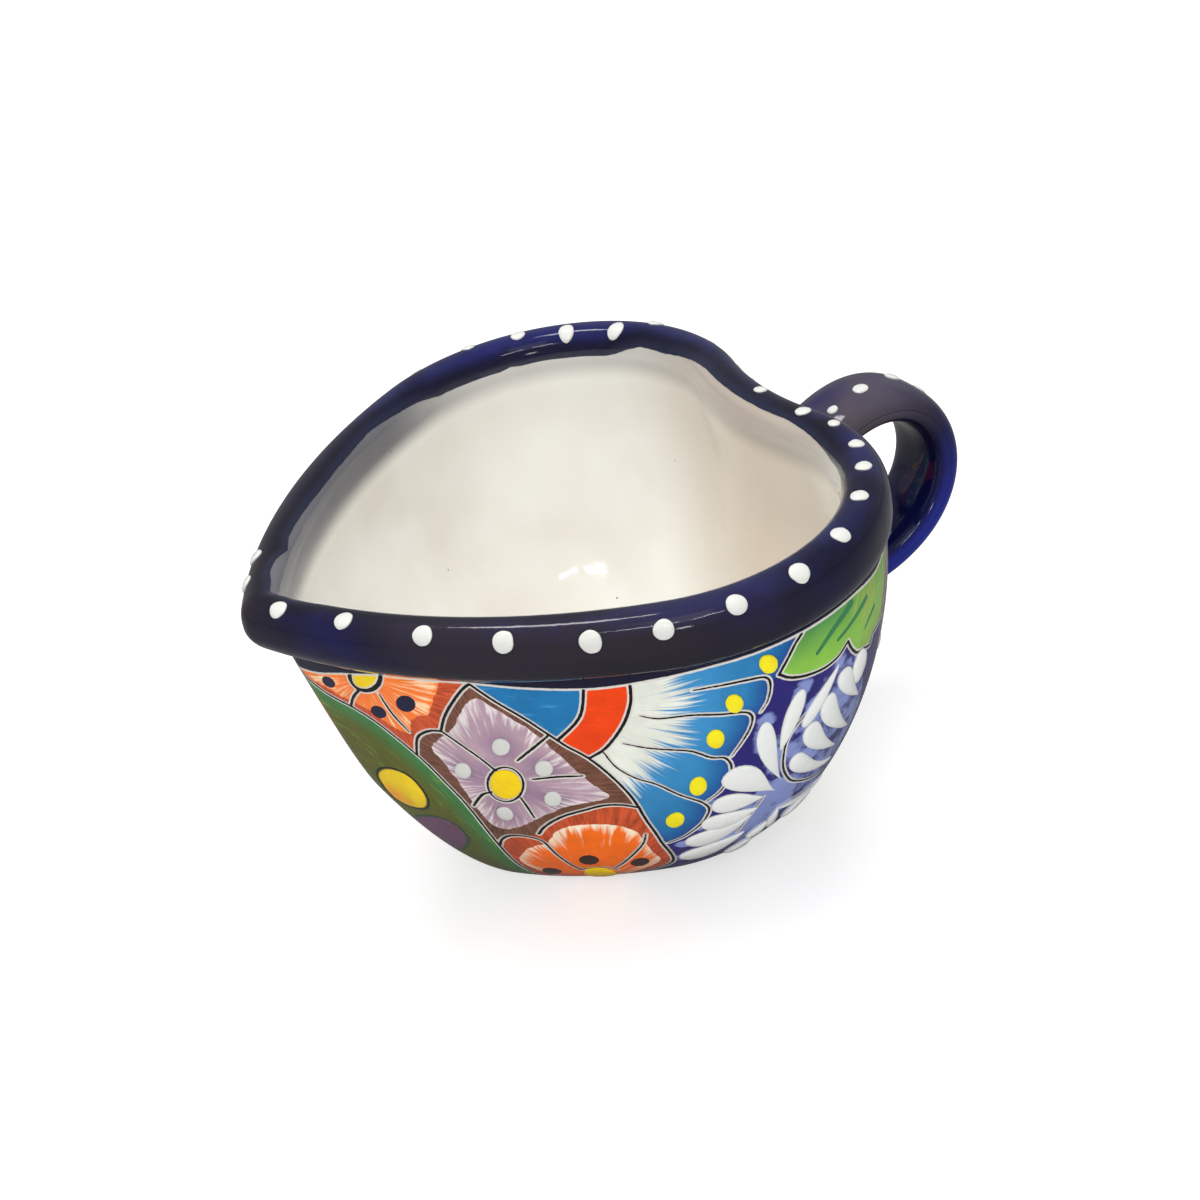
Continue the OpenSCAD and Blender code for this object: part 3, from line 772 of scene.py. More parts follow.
def paint_crescent(p, lines):
    """The blue field and the red crescent beside the fan."""
    lilac = smooth_line([*LILAC_RIGHT[:4], CRESCENT_LEFT[-1]])
    blue = p.inside(joined((480, 670), lilac, lines["left"][::-1], (0.853, -0.05),
                           (0.90, -0.05)))
    along = p.points * np.array([0.15, 0.15, 1.1])
    p.fill(blue, SKY, FAN_BLUE, 0.12, along)
    lower = smooth_line([CRESCENT_LEFT[-1], *LILAC_RIGHT[4:6]])
    red = p.inside(joined(lines["left"], lower, lines["crescent"][::-1], (0.832, -0.05),
                          (0.853, -0.05)))
    p.fill(red, CRESCENT_RED, CRESCENT_RED * 1.15, 0.15, along)


def paint_fan(p, lines):
    """The blue fan, with white strokes out from the crescent."""
    lower = smooth_line([*LILAC_RIGHT[5:], FLOWER_RIGHT[1], FAN_EDGE[-1]])
    area = p.inside(joined(lines["crescent"], lower, lines["fan"][::-1],
                           lines["fan_top"][::-1], (0.765, -0.05), (0.832, -0.05)))
    from_red, _ = p.distance(lines["crescent"], 40.0)
    to_edge, _ = p.distance(joined(lines["fan_top"], lines["fan"]), 12.0)
    ground = mix(mix(FAN_BLUE, SKY, ramp(from_red, 8, 26)), DEEP_BLUE,
                 0.85 * ramp(to_edge, 5.0, 0.5) ** 1.3)
    p.fill(area, ground, BAND_WHITE, np.clip(1.2 - ramp(from_red, 2.0, 15.0) * 1.3, 0.0, 1),
           p.rays(FAN_ROOT, 30.0, 0.04, seed=5.0))
    p.draw([(rib, RIB_W, 0.55) for rib in PETAL_RIBS])


def paint_orange(p, lines):
    """The orange flower low on the side."""
    area = p.inside(joined(lines["top"], lines["under"], smooth_line(LEAF_EDGE[8:]),
                           lines["right"][::-1]))
    petals = p.signed(smooth_line(TOP_PETALS, closed=True), 8.0)
    p.fill(area, mix(ORANGE, PEACH, ramp(-petals, 3.0, 0.0) * 0.2), PALE_ORANGE,
           0.03 + 0.62 * ramp(-petals, 4.5, 0.3) ** 1.2, p.rays(ORANGE_ROOT, 20.0, 0.06, seed=2.0))
    p.edge(area, -petals, BRICK * 0.95)
    p.draw(ORANGE_LINES)
    for spot in ORANGE_SPOTS:
        p.spots(photo_oval(*spot), SOOT)


def paint_feather(p, lines):
    """The cobalt field of the feather: the wash under its white strokes."""
    wash = p.inside(smooth_line(CURL_WASH, closed=True))
    stem = p.signed(smooth_line(STEM_WASH, closed=True), 4.0)
    near = np.full(len(wash), 9.0)
    for head, middle, tail, *_ in FEATHER_DROPS:
        d, _ = p.distance(smooth_line([head, middle, tail]), 3.6)
        near = np.minimum(near, d)
    amount = np.maximum(np.where(wash, 0.6, 0.0), ramp(stem, 1.5, -0.5) * 0.75)
    amount = np.maximum(amount, 0.62 * ramp(near, 2.6, 1.2))
    field = p.inside(joined(lines["fan"], smooth_line(FLOWER_RIGHT[1:]), lines["end"][::-1],
                            lines["lobe"][:-20][::-1], lines["green"][::-1]))
    p.fill(field, COBALT_PAINT, PERIWINKLE, amount, p.points * 0.2)
    p.draw([(CURL, RIB_W, 0.8), (STEM, RIB_W * 0.7, 0.5)])


def paint_green(p, lines):
    """The spring green leaf under the lip's right lobe, with dark veins."""
    area = p.inside(joined(lines["fan_top"], lines["green"], lines["lobe"], (0.664, -0.05),
                           (0.765, -0.05)))
    x, top = p.chart.T
    streak = np.column_stack([0.8 * (x - 0.45 * top), 0.07 * top, 0 * top])
    right = ramp(x, place((0.725, 0.1))[0], place((0.695, 0.1))[0])
    shade = (1 - ramp(top, 0.5, 8.5)) * (1 - 0.6 * right)
    p.fill(area, mix(mix(SPRING, DARK_LEAF, 0.8 * shade), DARK_LEAF, 0.15 * right),
           OLIVE_YELLOW, 0.4 * right, streak)
    for vein, width in GREEN_VEINS:
        d, share = p.distance(smooth_line(vein))
        p.mark(d - width / 2 * (1.1 - 0.5 * share), DARK_LEAF, area)


def paint_back(p, lines):
    """The side behind the lobe, which the photograph doesn't show, in the same hand."""
    low = p.inside(joined(lines["end"], (0.70, 1.02), (0.44, 1.02), (0.44, 0.5),
                          lines["cleft"][::-1]))
    low |= p.inside(joined((0.44, 0.70), (0.66, 0.70), (0.692, 0.80), (0.70, 1.02),
                           (0.44, 1.02)))
    x, down = p.chart.T
    along = np.column_stack([0.12 * x, 0.8 * down, 0 * down])
    p.fill(low, mix(LEAF_EDGE_GREEN, LEAF_OLIVE, ramp(down / CHART_H, 0.74, 0.9)),
           SPRING * 0.6, 0.25, along)
    cleft = p.inside(joined((0.44, -0.05), (0.594, -0.05), smooth_line(BACK_PANEL[::-1][:3]),
                            lines["cleft"], (0.44, 0.74)))
    red = p.inside(joined(lines["arc"], (0.537, -0.05), (0.44, -0.05), (0.44, 0.5)))
    from_red, _ = p.distance(lines["arc"], 30.0)
    p.fill(cleft, mix(FAN_BLUE, DEEP_BLUE, ramp(from_red, 10, 17)), BAND_WHITE,
           np.clip(1.1 - ramp(from_red, 1.0, 9.0) * 1.2, 0, 1),
           p.rays((0.5, 0.15), 15.0, 0.05, seed=6.0))
    p.fill(cleft & red, CRESCENT_RED, CRESCENT_RED * 1.15, 0.3, along)
    p.draw([(rib, RIB_W, 0.6) for rib in CLEFT_RIBS])
    for spot in CLEFT_SPOTS:
        p.spots(wall_oval(*spot, 3.6, 3.3, 0), YELLOW)
    for low_oval in LOW_OVALS:
        p.spots(wall_oval(*low_oval), YELLOW, LINE_W)
    area = p.inside(joined(lines["panel"], (0.594, -0.05), (0.664, -0.05)))
    petals = p.signed(smooth_line(BACK_PETALS, closed=True), 8.0)
    _, radius = p.polar(BACK_CENTRE)
    p.fill(area, mix(MAUVE, LILAC, ramp(radius, 2.5, 8.0)), PALE_LILAC,
           0.2 + 0.42 * ramp(-petals, 6.0, 0.0) ** 1.4, p.rays(BACK_CENTRE, 17.0, seed=4.0))
    p.edge(area, -petals, BROWN)
    p.line(wall_oval(*BACK_EYE), RIB_W, closed=True)
    for k in range(5):
        turn = math.radians(18 + 72 * k)
        reach = np.array([[4.2], [11.5]]) * [math.cos(turn), math.sin(turn)]
        p.line(place(BACK_CENTRE) + reach * [1, 1.15], VEIN_W, 0.7)
    for name in ("panel", "cleft", "end", "arc"):
        p.line(lines[name])


def paint_wall(s, t, far):
    """The whole near half, or the far half before it is mirrored, panel by panel."""
    p = Painting(s, t)
    lines = border_lines()
    paint_leaf(p, lines, far)
    for panel in (paint_peach, paint_lilac, paint_crescent, paint_fan, paint_orange,
                  paint_feather, paint_green, paint_back):
        panel(p, lines)
    for name in ("leaf", "peach", "corner", "lilac", "top", "right", "left", "crescent",
                 "fan_top", "green", "lobe"):
        p.line(lines[name])
    band = smooth_line(BAND_EDGE)
    over = p.inside(joined(band, (0.664, -0.06), (1.06, -0.06)))
    p.fill(over, BAND_COBALT)
    for field in (p.border, p.spot, p.ink):
        field[over] = FAR
    p.bare(band)
    return p


# Meshes

def quads(rings, count, wrapped=False):
    """Faces between rings of count places each; wrapped joins the last ring to the first."""
    ring = np.arange(rings if wrapped else rings - 1)[:, None]
    at = np.arange(count)[None, :]
    here, after = ring * count, (ring + 1) % rings * count
    then = (at + 1) % count
    return np.column_stack([v.ravel() for v in (here + at, after + at, after + then,
                                                here + then)])


def inward(points, faces):
    """Whether a closed piece's faces look into it."""
    a, b, c, d = (points[faces[:, k]] - points.mean(0) for k in range(4))
    return ((a + b + c + d) * np.cross(c - a, d - b)).sum() < 0


def build(name, points, faces, extra=(), marks=None):
    """A mesh piece from points in millimetres, with attributes for its glaze."""
    mesh = bpy.data.meshes.new(name)
    points = np.asarray(points, float)
    every = [tuple(f) for f in faces.tolist()] + [tuple(f) for f in extra]
    if len(faces) and inward(points, faces):
        every = [f[::-1] for f in every]
    mesh.from_pydata((np.asarray(points) * MM).tolist(), [], every)
    mesh.polygons.foreach_set("use_smooth", np.ones(len(mesh.polygons), bool))
    for key, values in (marks or {}).items():
        values = np.asarray(values, np.float32)
        if values.ndim == 1:
            mesh.attributes.new(key, "FLOAT", "POINT").data.foreach_set("value", values)
        else:
            mesh.attributes.new(key, "FLOAT_VECTOR", "POINT").data.foreach_set(
                "vector", values.ravel())
    mesh.update()
    piece = bpy.data.objects.new(name, mesh)
    bpy.context.scene.collection.objects.link(piece)
    return piece


def finish_piece(piece, slot, *nodes):
    """Hands a piece over to the frame, in place of its nodes."""
    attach(piece, "root")
    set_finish(piece, slot)
    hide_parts(*nodes)
    return piece


def end_caps(points, count):
    """The faces that close rings of count places at the first ring and the last."""
    return [range(count - 1, -1, -1), range(len(points) - count, len(points))]


def whole_round(count):
    """Steps all the way round the mouth, evenly spaced, the same on both sides."""
    half = even_steps(count // 2 + 1)
    return np.concatenate([half, RING_STEPS - half[-2:0:-1]])


# Painted coat: two halves that meet under the tip and behind the handle

COAT_COLUMNS = 661
COAT_ROWS = 278
COAT_BACK_ROWS = 10
FOOT_ROLL_SHARE = 0.0045
PAINT_LAYERS = ("paint", "wash", "amount", "brush", "border", "border_paint", "spot",
                "spot_paint", "ink")


def coat_rings(steps):
    """Rings round the coat's section for each column, its painted face first."""
    t = even_shares(COAT_ROWS, FOOT_LINE_SHARE)
    outer = wall(steps[:, None], t[None, :])
    foot = [wall(steps, FOOT_LINE_SHARE + FOOT_ROLL_SHARE * math.sin(a),
                 -COAT_T * (1 - math.cos(a))) for a in np.radians([30, 60, 90])]
    back = [wall(steps, u, -COAT_T)
            for u in np.linspace(FOOT_LINE_SHARE, SEAT_SHARE, COAT_BACK_ROWS)]
    return np.concatenate([outer, np.stack(foot + back, 1)], 1), t


def coat_piece(name, points, normals, columns, count, marks, mirrored):
    """One closed part of the coat, from its columns of points."""
    faces = quads(columns, count)[:, [0, 3, 2, 1]]
    if mirrored:
        points, normals = points * [1, -1, 1], normals * [1, -1, 1]
    piece = build(name, points, faces, end_caps(points, count), marks)
    piece.data.normals_split_custom_set_from_vertices(normals.tolist())
    finish_piece(piece, "painted_glaze", "painted_coat")


def section_normals(rings):
    """Normals of the coat, the same on both sides of the plane through tip and cleft."""
    flip = np.array([1, -1, 1])
    wide = np.concatenate([rings[1:2] * flip, rings, rings[-2:-1] * flip])
    round_way = wide[2:] - wide[:-2]
    down_way = np.roll(rings, -1, 1) - np.roll(rings, 1, 1)
    normals = np.cross(round_way, down_way)
    normals[[0, -1], :, 1] = 0
    return normals / np.maximum(np.linalg.norm(normals, axis=2, keepdims=True), 1e-9)


def make_coat():
    """The coat's near half in two pieces, and the far half, mirrored, in two more."""
    steps = RING_STEPS - even_steps(COAT_COLUMNS)[::-1]
    rings, t = coat_rings(steps)
    rings[[0, -1], :, 1] = 0
    normals = section_normals(rings)
    count = rings.shape[1]
    ss, tt = (v.ravel() for v in np.meshgrid(steps, t, indexing="ij"))
    marks = {"near": {}, "far": {}}
    for side, layers in marks.items():
        p = paint_wall(ss, tt, side == "far")
        for key in PAINT_LAYERS:
            values = getattr(p, key)
            face = values.reshape((len(steps), len(t)) + values.shape[1:])
            layers[key] = np.concatenate([face, np.repeat(face[:, -1:], count - len(t), 1)], 1)
    middle = COAT_COLUMNS // 2
    for part, first, last in (("cleft", 0, middle), ("tip", middle, COAT_COLUMNS - 1)):
        keep = slice(first, last + 1)
        for side, layers in marks.items():
            here = {key: v[keep].reshape((-1,) + v.shape[2:]) for key, v in layers.items()}
            coat_piece(f"painted_coat_{side}_{part}", rings[keep].reshape(-1, 3),
                       normals[keep].reshape(-1, 3), last + 1 - first, count, here,
                       side == "far")


# Lip: the rolled coil, cobalt but for the lowest part of its inner face

SEAT_A = math.degrees(math.asin((1 - 2 * SEAT_PRESS / LIP_H) ** (LIP_POWER / 2)))
GLAZE_EDGE = [(271.5, 581), (270, 571), (276, 559), (288, 550), (289, 537), (297, 522),
              (305, 510), (324, 486), (350, 454), (371, 430), (440, 396), (501, 373.5),
              (511, 367), (522, 367), (542, 362), (573, 359), (583, 358), (603, 360),
              (615.5, 354), (630, 349), (640, 347), (664.5, 354), (705, 368)]
LIP_COLUMNS = 760
LIP_ROWS = 84
SEAT_ROWS = 8
# The glaze stands this far above the bare part of the lip, and thins out over this run
GLAZE_STEP = 0.07
GLAZE_STEP_RUN = 0.35


def section_angles(count):
    """Angles round the lip's section, spaced evenly along it, from the seat's outer edge."""
    fine = np.linspace(-SEAT_A, 180 + SEAT_A, 4001)
    return evenly(fine, lip(SIDE_STEP, fine), count)


def make_lip():
    """The rolled lip, which carries how far each place is above its lower glaze edge."""
    steps, angles = whole_round(LIP_COLUMNS), section_angles(LIP_ROWS)
    curve = lip(steps[:, None], angles[None, :])
    seat = np.linspace(curve[:, -1], curve[:, 0], SEAT_ROWS, axis=1)[:, 1:-1]
    sections = np.concatenate([curve, seat], 1)
    found = np.array([LIP_FACE.find(px) for px in GLAZE_EDGE])
    order = np.argsort(found[:, 0])
    one_side = np.minimum(steps, RING_STEPS - steps)
    edge_a = np.interp(one_side, found[order, 0], -found[order, 1])
    run = np.array([run_along(section) for section in curve])
    at_edge = np.array([np.interp(a, angles, r) for a, r in zip(edge_a, run)])
    above = at_edge[:, None] - run
    above = np.concatenate([above, np.repeat(above[:, -1:], seat.shape[1], 1)], 1)
    step = np.clip(above / GLAZE_STEP_RUN, -1, 1)
    middle = lip(steps, np.full(len(steps), 90.0)) - [0, 0, LIP_H / 2]
    out = sections - middle[:, None]
    out /= np.linalg.norm(out, axis=2, keepdims=True)
    sections = sections - out * (GLAZE_STEP * (1 - step) + LIP_EASE)[..., None]
    piece = build("glazed_lip", sections.reshape(-1, 3),
                  quads(*sections.shape[:2], wrapped=True), marks={"edge": above.ravel()})
    return finish_piece(piece, "cobalt_glaze", "rim_coil")


# Liner and clay body

# Under the lip the liner runs down from the coil without a crease, over this height
LINER_BLEND = 21.0


def heart_shell(name, sections):
    """A closed piece of rings whose first and last close in a pole each."""
    rows, count = sections.shape[:2]
    poles = np.stack([sections[0].mean(0), sections[-1].mean(0)])
    points = np.vstack([sections.reshape(-1, 3), poles])
    i = np.arange(count)
    then = (i + 1) % count
    last = (rows - 1) * count
    top = np.column_stack([i, then, np.full(count, rows * count)])
    low = np.column_stack([last + then, last + i, np.full(count, rows * count + 1)])
    return build(name, points, quads(rows, count), [*top.tolist(), *low.tolist()])


def floor_rows(edge, shares):
    """Rows from a flat edge in towards its middle."""
    middle = edge.mean(0)
    return [middle + (edge - middle) * q for q in shares]


def easing(first, count):
    """Shares from first to 1 that draw closer together towards the floor."""
    return first + (1 - first) * np.sin(np.linspace(0, math.pi / 2, count))


def make_liner():
    """The poured liner: from the lip down over the inner wall and across the floor."""
    steps = whole_round(420)
    inside, outside = -(COAT_T + WALL_T + LINER_T), -(COAT_T + WALL_T)
    floor_in, floor_out = FLOOR_T + LINER_T, FLOOR_T
    inner = [hollow(steps, t, inside, floor_in)
             for t in easing(-(SEAT_Z - BAND_Z) / (BAND_Z - floor_in), 110)]
    outer = [hollow(steps, t, outside, floor_out)
             for t in easing(-(SEAT_Z - BAND_Z) / (BAND_Z - floor_out), 40)]
    middle_z = MUG_H - LIP_H / 2
    under = np.column_stack(outline(grown(PINCHED_MOUTH, -LIP_W - 0.05), steps))
    for row in inner:
        drop = np.clip((middle_z - row[0, 2]) / LINER_BLEND, 0, 1)
        w = drop * drop * (3 - 2 * drop)
        row[:, :2] = under * (1 - w) + row[:, :2] * w
    rolled = [lip(steps, a, lift) for a, lift in
              zip(np.linspace(166, 180, 8), np.linspace(-0.2, 0.05, 8))]
    top_z = inner[0][0, 2]
    joins = []
    for z in np.linspace(middle_z, top_z, 10)[1:-1]:
        u = (middle_z - z) / (middle_z - top_z)
        row = rolled[-1] * (1 - u) + inner[0] * u
        row[:, 2] = z
        joins.append(row)
    inner = rolled + joins + inner
    outer = [rolled[0] * (1 - u) + outer[0] * u for u in np.linspace(0, 1, 8)[1:-1]] + outer
    shares = np.linspace(0.93, 0.02, 14)
    rows = (floor_rows(inner[-1], shares)[::-1] + inner[::-1] + outer
            + floor_rows(outer[-1], shares))
    finish_piece(heart_shell("poured_liner", np.array(rows)), "liner_glaze", "liner_glaze")


def make_bowl():
    """The clay body, with a flat foot that is a little hollow underneath."""
    steps = whole_round(360)
    inner = [hollow(steps, t, -(COAT_T + WALL_T), FLOOR_T) for t in easing(SEAT_SHARE, 40)]
    outer = [wall(steps, t, -COAT_T) for t in even_shares(90, 0.996)]
    for row in inner:
        row[:, 2] = np.minimum(row[:, 2], SEAT_Z)
    foot = [wall(steps, 1.0, -COAT_T - 0.8 * (1 - math.cos(a))) * [1, 1, 0]
            + [0, 0, 0.3 * (1 - math.sin(a))] for a in np.radians([20, 45, 70, 90])]
    under = floor_rows(foot[-1], [0.96, 0.9, 0.88, 0.86, 0.6, 0.3, 0.05])
    for row, dip in zip(under, [0, 0, 0.12, 0.2, 0.2, 0.2, 0.2]):
        row[:, 2] = dip
    rows = floor_rows(inner[-1], [0.7, 0.4, 0.1])[::-1] + inner[::-1] + outer + foot + under
    finish_piece(heart_shell("clay_body", np.array(rows)), "clay", "bowl")


# Strap and the slip fillets at its roots

STRAP_PLACES = 128
STRAP_ROWS = 300
FILLET_ROWS = 60
ROOT_LEAD = 4.4 / STRAP_REACH
ROOT_DEPTH = 2.6


def in_wall(points, t):
    """Keeps the ends of a sweep inside the wall's thickness."""
    down = np.clip(1 - points[..., 2] / BAND_Z, 0, 1)
    face_x = outline(grown(level(down), -WALL_INSET), HALF_STEPS)[0]
    face_x = face_x + points[..., 1] ** 2 / (2 * MOUTH[6])
    held = np.maximum(points[..., 0], face_x - ROOT_DEPTH)
    points[..., 0] = np.where(((t < 0) | (t > 1))[:, None], held, points[..., 0])
    return points


def sweep(name, shares, grow, node):
    """A closed piece along the strap, larger than it by grow at each share."""
    fine = -np.linspace(0, 360, 3601)
    angles = evenly(fine, strap(0.5, fine), STRAP_PLACES + 1)[:-1]
    rings = in_wall(strap(shares[:, None], angles[None, :], grow[:, None]), shares)
    points = rings.reshape(-1, 3)
    faces = quads(len(shares), STRAP_PLACES)[:, ::-1]
    piece = build(name, points, faces, end_caps(points, STRAP_PLACES),
                  {"along": np.repeat(shares, STRAP_PLACES),
                   "round": np.tile(angles, len(shares))})
    return finish_piece(piece, "cobalt_glaze", node)


def make_strap():
    """The strap, and the fillets at its upper and its lower root."""
    shares = np.linspace(-ROOT_LEAD, 1 + ROOT_LEAD, STRAP_ROWS)
    at = np.linspace(-ROOT_LEAD, FILLET_SHARE, FILLET_ROWS)
    grow = FILLET_W * (1 - np.maximum(0, at) / FILLET_SHARE) ** 2 - 0.02
    return [sweep("pulled_strap", shares, np.zeros(STRAP_ROWS), "handle_strap"),
            sweep("upper_fillet", at, grow, "upper_joint"),
            sweep("lower_fillet", (1 - at)[::-1], grow[::-1], "lower_joint")]


# Node trees

class Term:
    """A socket that can be used in sums."""

    def __init__(self, tree, socket):
        self.tree, self.socket = tree, socket

    def maths(self, operation, *others):
        return self.tree.maths(operation, self, *others)

    def __add__(self, other):
        return self.maths("ADD", other)

    def __mul__(self, other):
        return self.maths("MULTIPLY", other)

    __radd__, __rmul__ = __add__, __mul__

    def __sub__(self, other):
        return self.maths("SUBTRACT", other)

    def __rsub__(self, other):
        return self.tree.maths("SUBTRACT", other, self)

    def __pow__(self, other):
        return self.maths("POWER", other)

    def low(self, other):
        return self.maths("MINIMUM", other)

    def high(self, other):
        return self.maths("MAXIMUM", other)

    def step(self, start, end):
        """0 up to start and 1 from end on, smooth between."""
        return self.tree.node("ShaderNodeMapRange", {"interpolation_type": "SMOOTHSTEP"},
                              [self, start, end, 0.0, 1.0])[0]


class Tree:
    """A node tree written as sums and calls."""

    def __init__(self, tree):
        self.tree = tree

    def node(self, kind, settings=(), inputs=()):
        """One node; inputs are in socket order or by place, and its outputs come back."""
        made = self.tree.nodes.new(kind)
        for key, value in dict(settings).items():
            setattr(made, key, value)
        pairs = inputs.items() if isinstance(inputs, dict) else enumerate(inputs)
        for key, value in pairs:
            if isinstance(value, Term):
                self.tree.links.new(value.socket, made.inputs[key])
            elif value is not None:
                made.inputs[key].default_value = value
        return [Term(self, out) for out in made.outputs]

    def maths(self, operation, *terms):
        return self.node("ShaderNodeMath", {"operation": operation}, terms)[0]

    def mixed(self, a, b, factor):
        """Colour a where factor is 0 and b where it is 1."""
        return self.node("ShaderNodeMix", {"data_type": "RGBA"},
                         {0: factor, 6: colour(a), 7: colour(b)})[2]

    def noise(self, vector, scale, detail=2.0, roughness=0.5):
        return self.node("ShaderNodeTexNoise", {}, {"Vector": vector, "Scale": scale,
                         "Detail": detail, "Roughness": roughness})[0]

    def added(self, *vectors):
        return self.node("ShaderNodeVectorMath", {"operation": "ADD"}, vectors)[0]

    def scaled(self, vector, factor):
        return self.node("ShaderNodeVectorMath", {"operation": "SCALE"},
                         [vector, None, None, factor])[0]

    def split(self, vector):
        """The three numbers of a vector."""
        return self.node("ShaderNodeSeparateXYZ", {}, [vector])


def colour(value):
    """A plain colour for a socket, or a term as it is."""
    if isinstance(value, Term):
        return value
    return (*[float(v) for v in value], 1.0)


def glaze(name, fill):
    """A material whose fill(tree, at) gives colour, roughness, height and coat."""
    material = bpy.data.materials.new(name)
    tree = cleared(material)
    base, roughness, height, coat = fill(tree, tree.node("ShaderNodeTexCoord")[3])
    bump = tree.node("ShaderNodeBump", {},
                     {"Strength": 1.0, "Distance": MM, "Height": height})[0]
    surface = tree.node("ShaderNodeBsdfPrincipled", {}, {
        "Base Color": colour(base), "Roughness": roughness, "IOR": 1.42, "Coat Weight": coat,
        "Coat Roughness": 0.03, "Coat IOR": 1.3, "Normal": bump})[0]
    tree.node("ShaderNodeOutputMaterial", {}, [surface])
    return material


def cleared(holder):
    """The empty node tree of a material or a world."""
    holder.use_nodes = True
    holder.node_tree.nodes.clear()
    return Tree(holder.node_tree)


INK = srgb(14, 13, 16)
HALO = srgb(222, 218, 210)
CREAM = srgb(237, 236, 230)
WARM_CREAM = srgb(210, 202, 190)
# Painted shade: the tan that the poured white turns towards the cleft
TAN_SHADE = srgb(204, 186, 166)
# Painted shadow that the lip casts on the poured white under it
LIP_SHADOW_GREY = srgb(78, 78, 88)
COBALT = srgb(24, 25, 82)
COBALT_DEEP = srgb(15, 15, 40)
# Painted reflection: a brown room mirrored in the cobalt towards the tip
BROWN_REFLECTION = srgb(44, 38, 44)
# Painted sheen along the lip's crest
CREST_SHEEN = srgb(40, 44, 94)
# Painted shade low on the lip and above its glaze edge
SHADED_NAVY = srgb(12, 12, 22)
# Painted reflection of a grey-brown room on the strap's top
STRAP_TOP_REFLECTION = srgb(84, 76, 76)
# Painted light: the brighter blue down the strap's back
LIT_STRAP_BLUE = srgb(28, 40, 144)
CLAY = srgb(196, 142, 104)
CLAY_DARK = srgb(160, 104, 70)
WHITE_ENAMEL = srgb(208, 209, 203)
# Painted light: a brighter copy of the white enamel for the feather, to make up for the shade it
# gets on the wall
LIT_FEATHER_WHITE = srgb(230, 232, 229)
LEMON = srgb(242, 228, 26)
LEMON_DEEP = srgb(228, 204, 16)
GOLD = srgb(246, 212, 6)
GOLD_DEEP = srgb(234, 184, 4)
THIN_WHITE = srgb(205, 205, 212)
THIN_COBALT = srgb(36, 40, 62)
SPECK = srgb(120, 92, 70)


def read(tree, name, output=1):
    """An attribute of the mesh: output 1 is a vector, 2 a number."""
    return tree.node("ShaderNodeAttribute", {"attribute_name": name})[output]


def painted_fill(tree, at):
    """The painted wall: brush streaks, borders, spots and dark lines with a pale edge."""
    grain = tree.noise(read(tree, "brush"), 1.0, 3.0, 0.6)
    amount = read(tree, "amount", 2)
    strokes = ((grain - 0.5) * 2.3 + amount - 0.5).step(-0.26, 0.26)
    strokes = strokes * amount.step(0.0, 0.05)
    base = tree.mixed(read(tree, "paint"), read(tree, "wash"), strokes)
    ragged = tree.noise(at, 520.0, 3.0, 0.55)
    border = read(tree, "border", 2) + (ragged - 0.5) * 1.0
    edge = 1 - border.step(-0.1, 0.1)
    bristles = tree.noise(read(tree, "brush"), 2.2, 3.0, 0.65).step(0.3, 0.68)
    brushed = tree.scaled(read(tree, "border_paint"), bristles * 0.62 + 0.56)
    base = tree.mixed(base, brushed, edge)
    spot = 1 - read(tree, "spot", 2).step(-0.05, 0.05)
    base = tree.mixed(base, read(tree, "spot_paint"), spot)
    mottle = tree.noise(at, 160.0, 3.0, 0.6).step(0.25, 0.75) * 0.2 + 0.9
    base = tree.scaled(base, mottle)
    ink = read(tree, "ink", 2) + (tree.noise(at, 1100.0, 1.0) - 0.5) * 0.16
    halo = 1 - ink.step(HALO_W - 0.06, HALO_W + 0.1)
    base = tree.mixed(base, HALO, halo * 0.9)
    line = 1 - ink.step(-0.04, 0.07)
    base = tree.mixed(base, INK, line)
    height = ink.step(-0.1, 0.5) * 0.16 + tree.noise(at, 420.0, 2.0) * 0.07
    return base, line * 0.1 + 0.13, height, 0.55


def cobalt_fill(tree, at):
    """Cobalt in patchy pools, with painted light towards the back and a painted brown reflection
    by the tip.
    """
    x, y, _ = tree.split(at)
    # Pools of brighter blue, more of them towards the back and the handle: the glaze's own
    # pooling, with painted light on the lit side
    behind = (x + y * 0.8).step(-0.01, 0.07)
    pool = (tree.noise(at, 38.0, 3.0, 0.55) + behind * 0.2).step(0.5, 0.86)
    base = tree.mixed(COBALT_DEEP, COBALT, pool)
    # Painted reflection: brownish patches on the side towards the tip, where the glaze mirrors a
    # brown room
    brown_reflection = (1 - (x + y * 0.3).step(-0.035, 0.012)) * tree.noise(at, 24.0, 2.0).step(0.36, 0.6)
    base = tree.mixed(base, BROWN_REFLECTION, brown_reflection * 0.8)
    height = tree.noise(at, 260.0, 2.0) * 0.1
    return base, 0.1, height, 0.6


def strap_fill(tree, at):
    """Cobalt with a painted reflection over the strap's top, painted light down its back, and
    painted shade inside.
    """
    base, roughness, height, coat = cobalt_fill(tree, at)
    along = read(tree, "along", 2)
    # Painted reflection: a grey-brown room over the strap's top near its upper root, in patches
    thin_glaze_and_top_reflection = (1 - along.step(0.12, 0.5)) * tree.noise(at, 60.0, 2.0).step(0.2, 0.6)
    base = tree.mixed(base, STRAP_TOP_REFLECTION, thin_glaze_and_top_reflection * 0.8)
    # Painted light: brighter blue down the strap's back, towards its lower root
    base = tree.mixed(base, LIT_STRAP_BLUE, along.step(0.4, 0.75) * 0.75)
    # Painted shade: the strap's inner face darker
    inner = (read(tree, "round", 2) * math.radians(1) + math.pi / 2).maths("COSINE")
    base = tree.mixed(base, COBALT_DEEP * 0.5, inner.step(0.0, 0.6) * 0.85)
    return base, roughness, height, coat


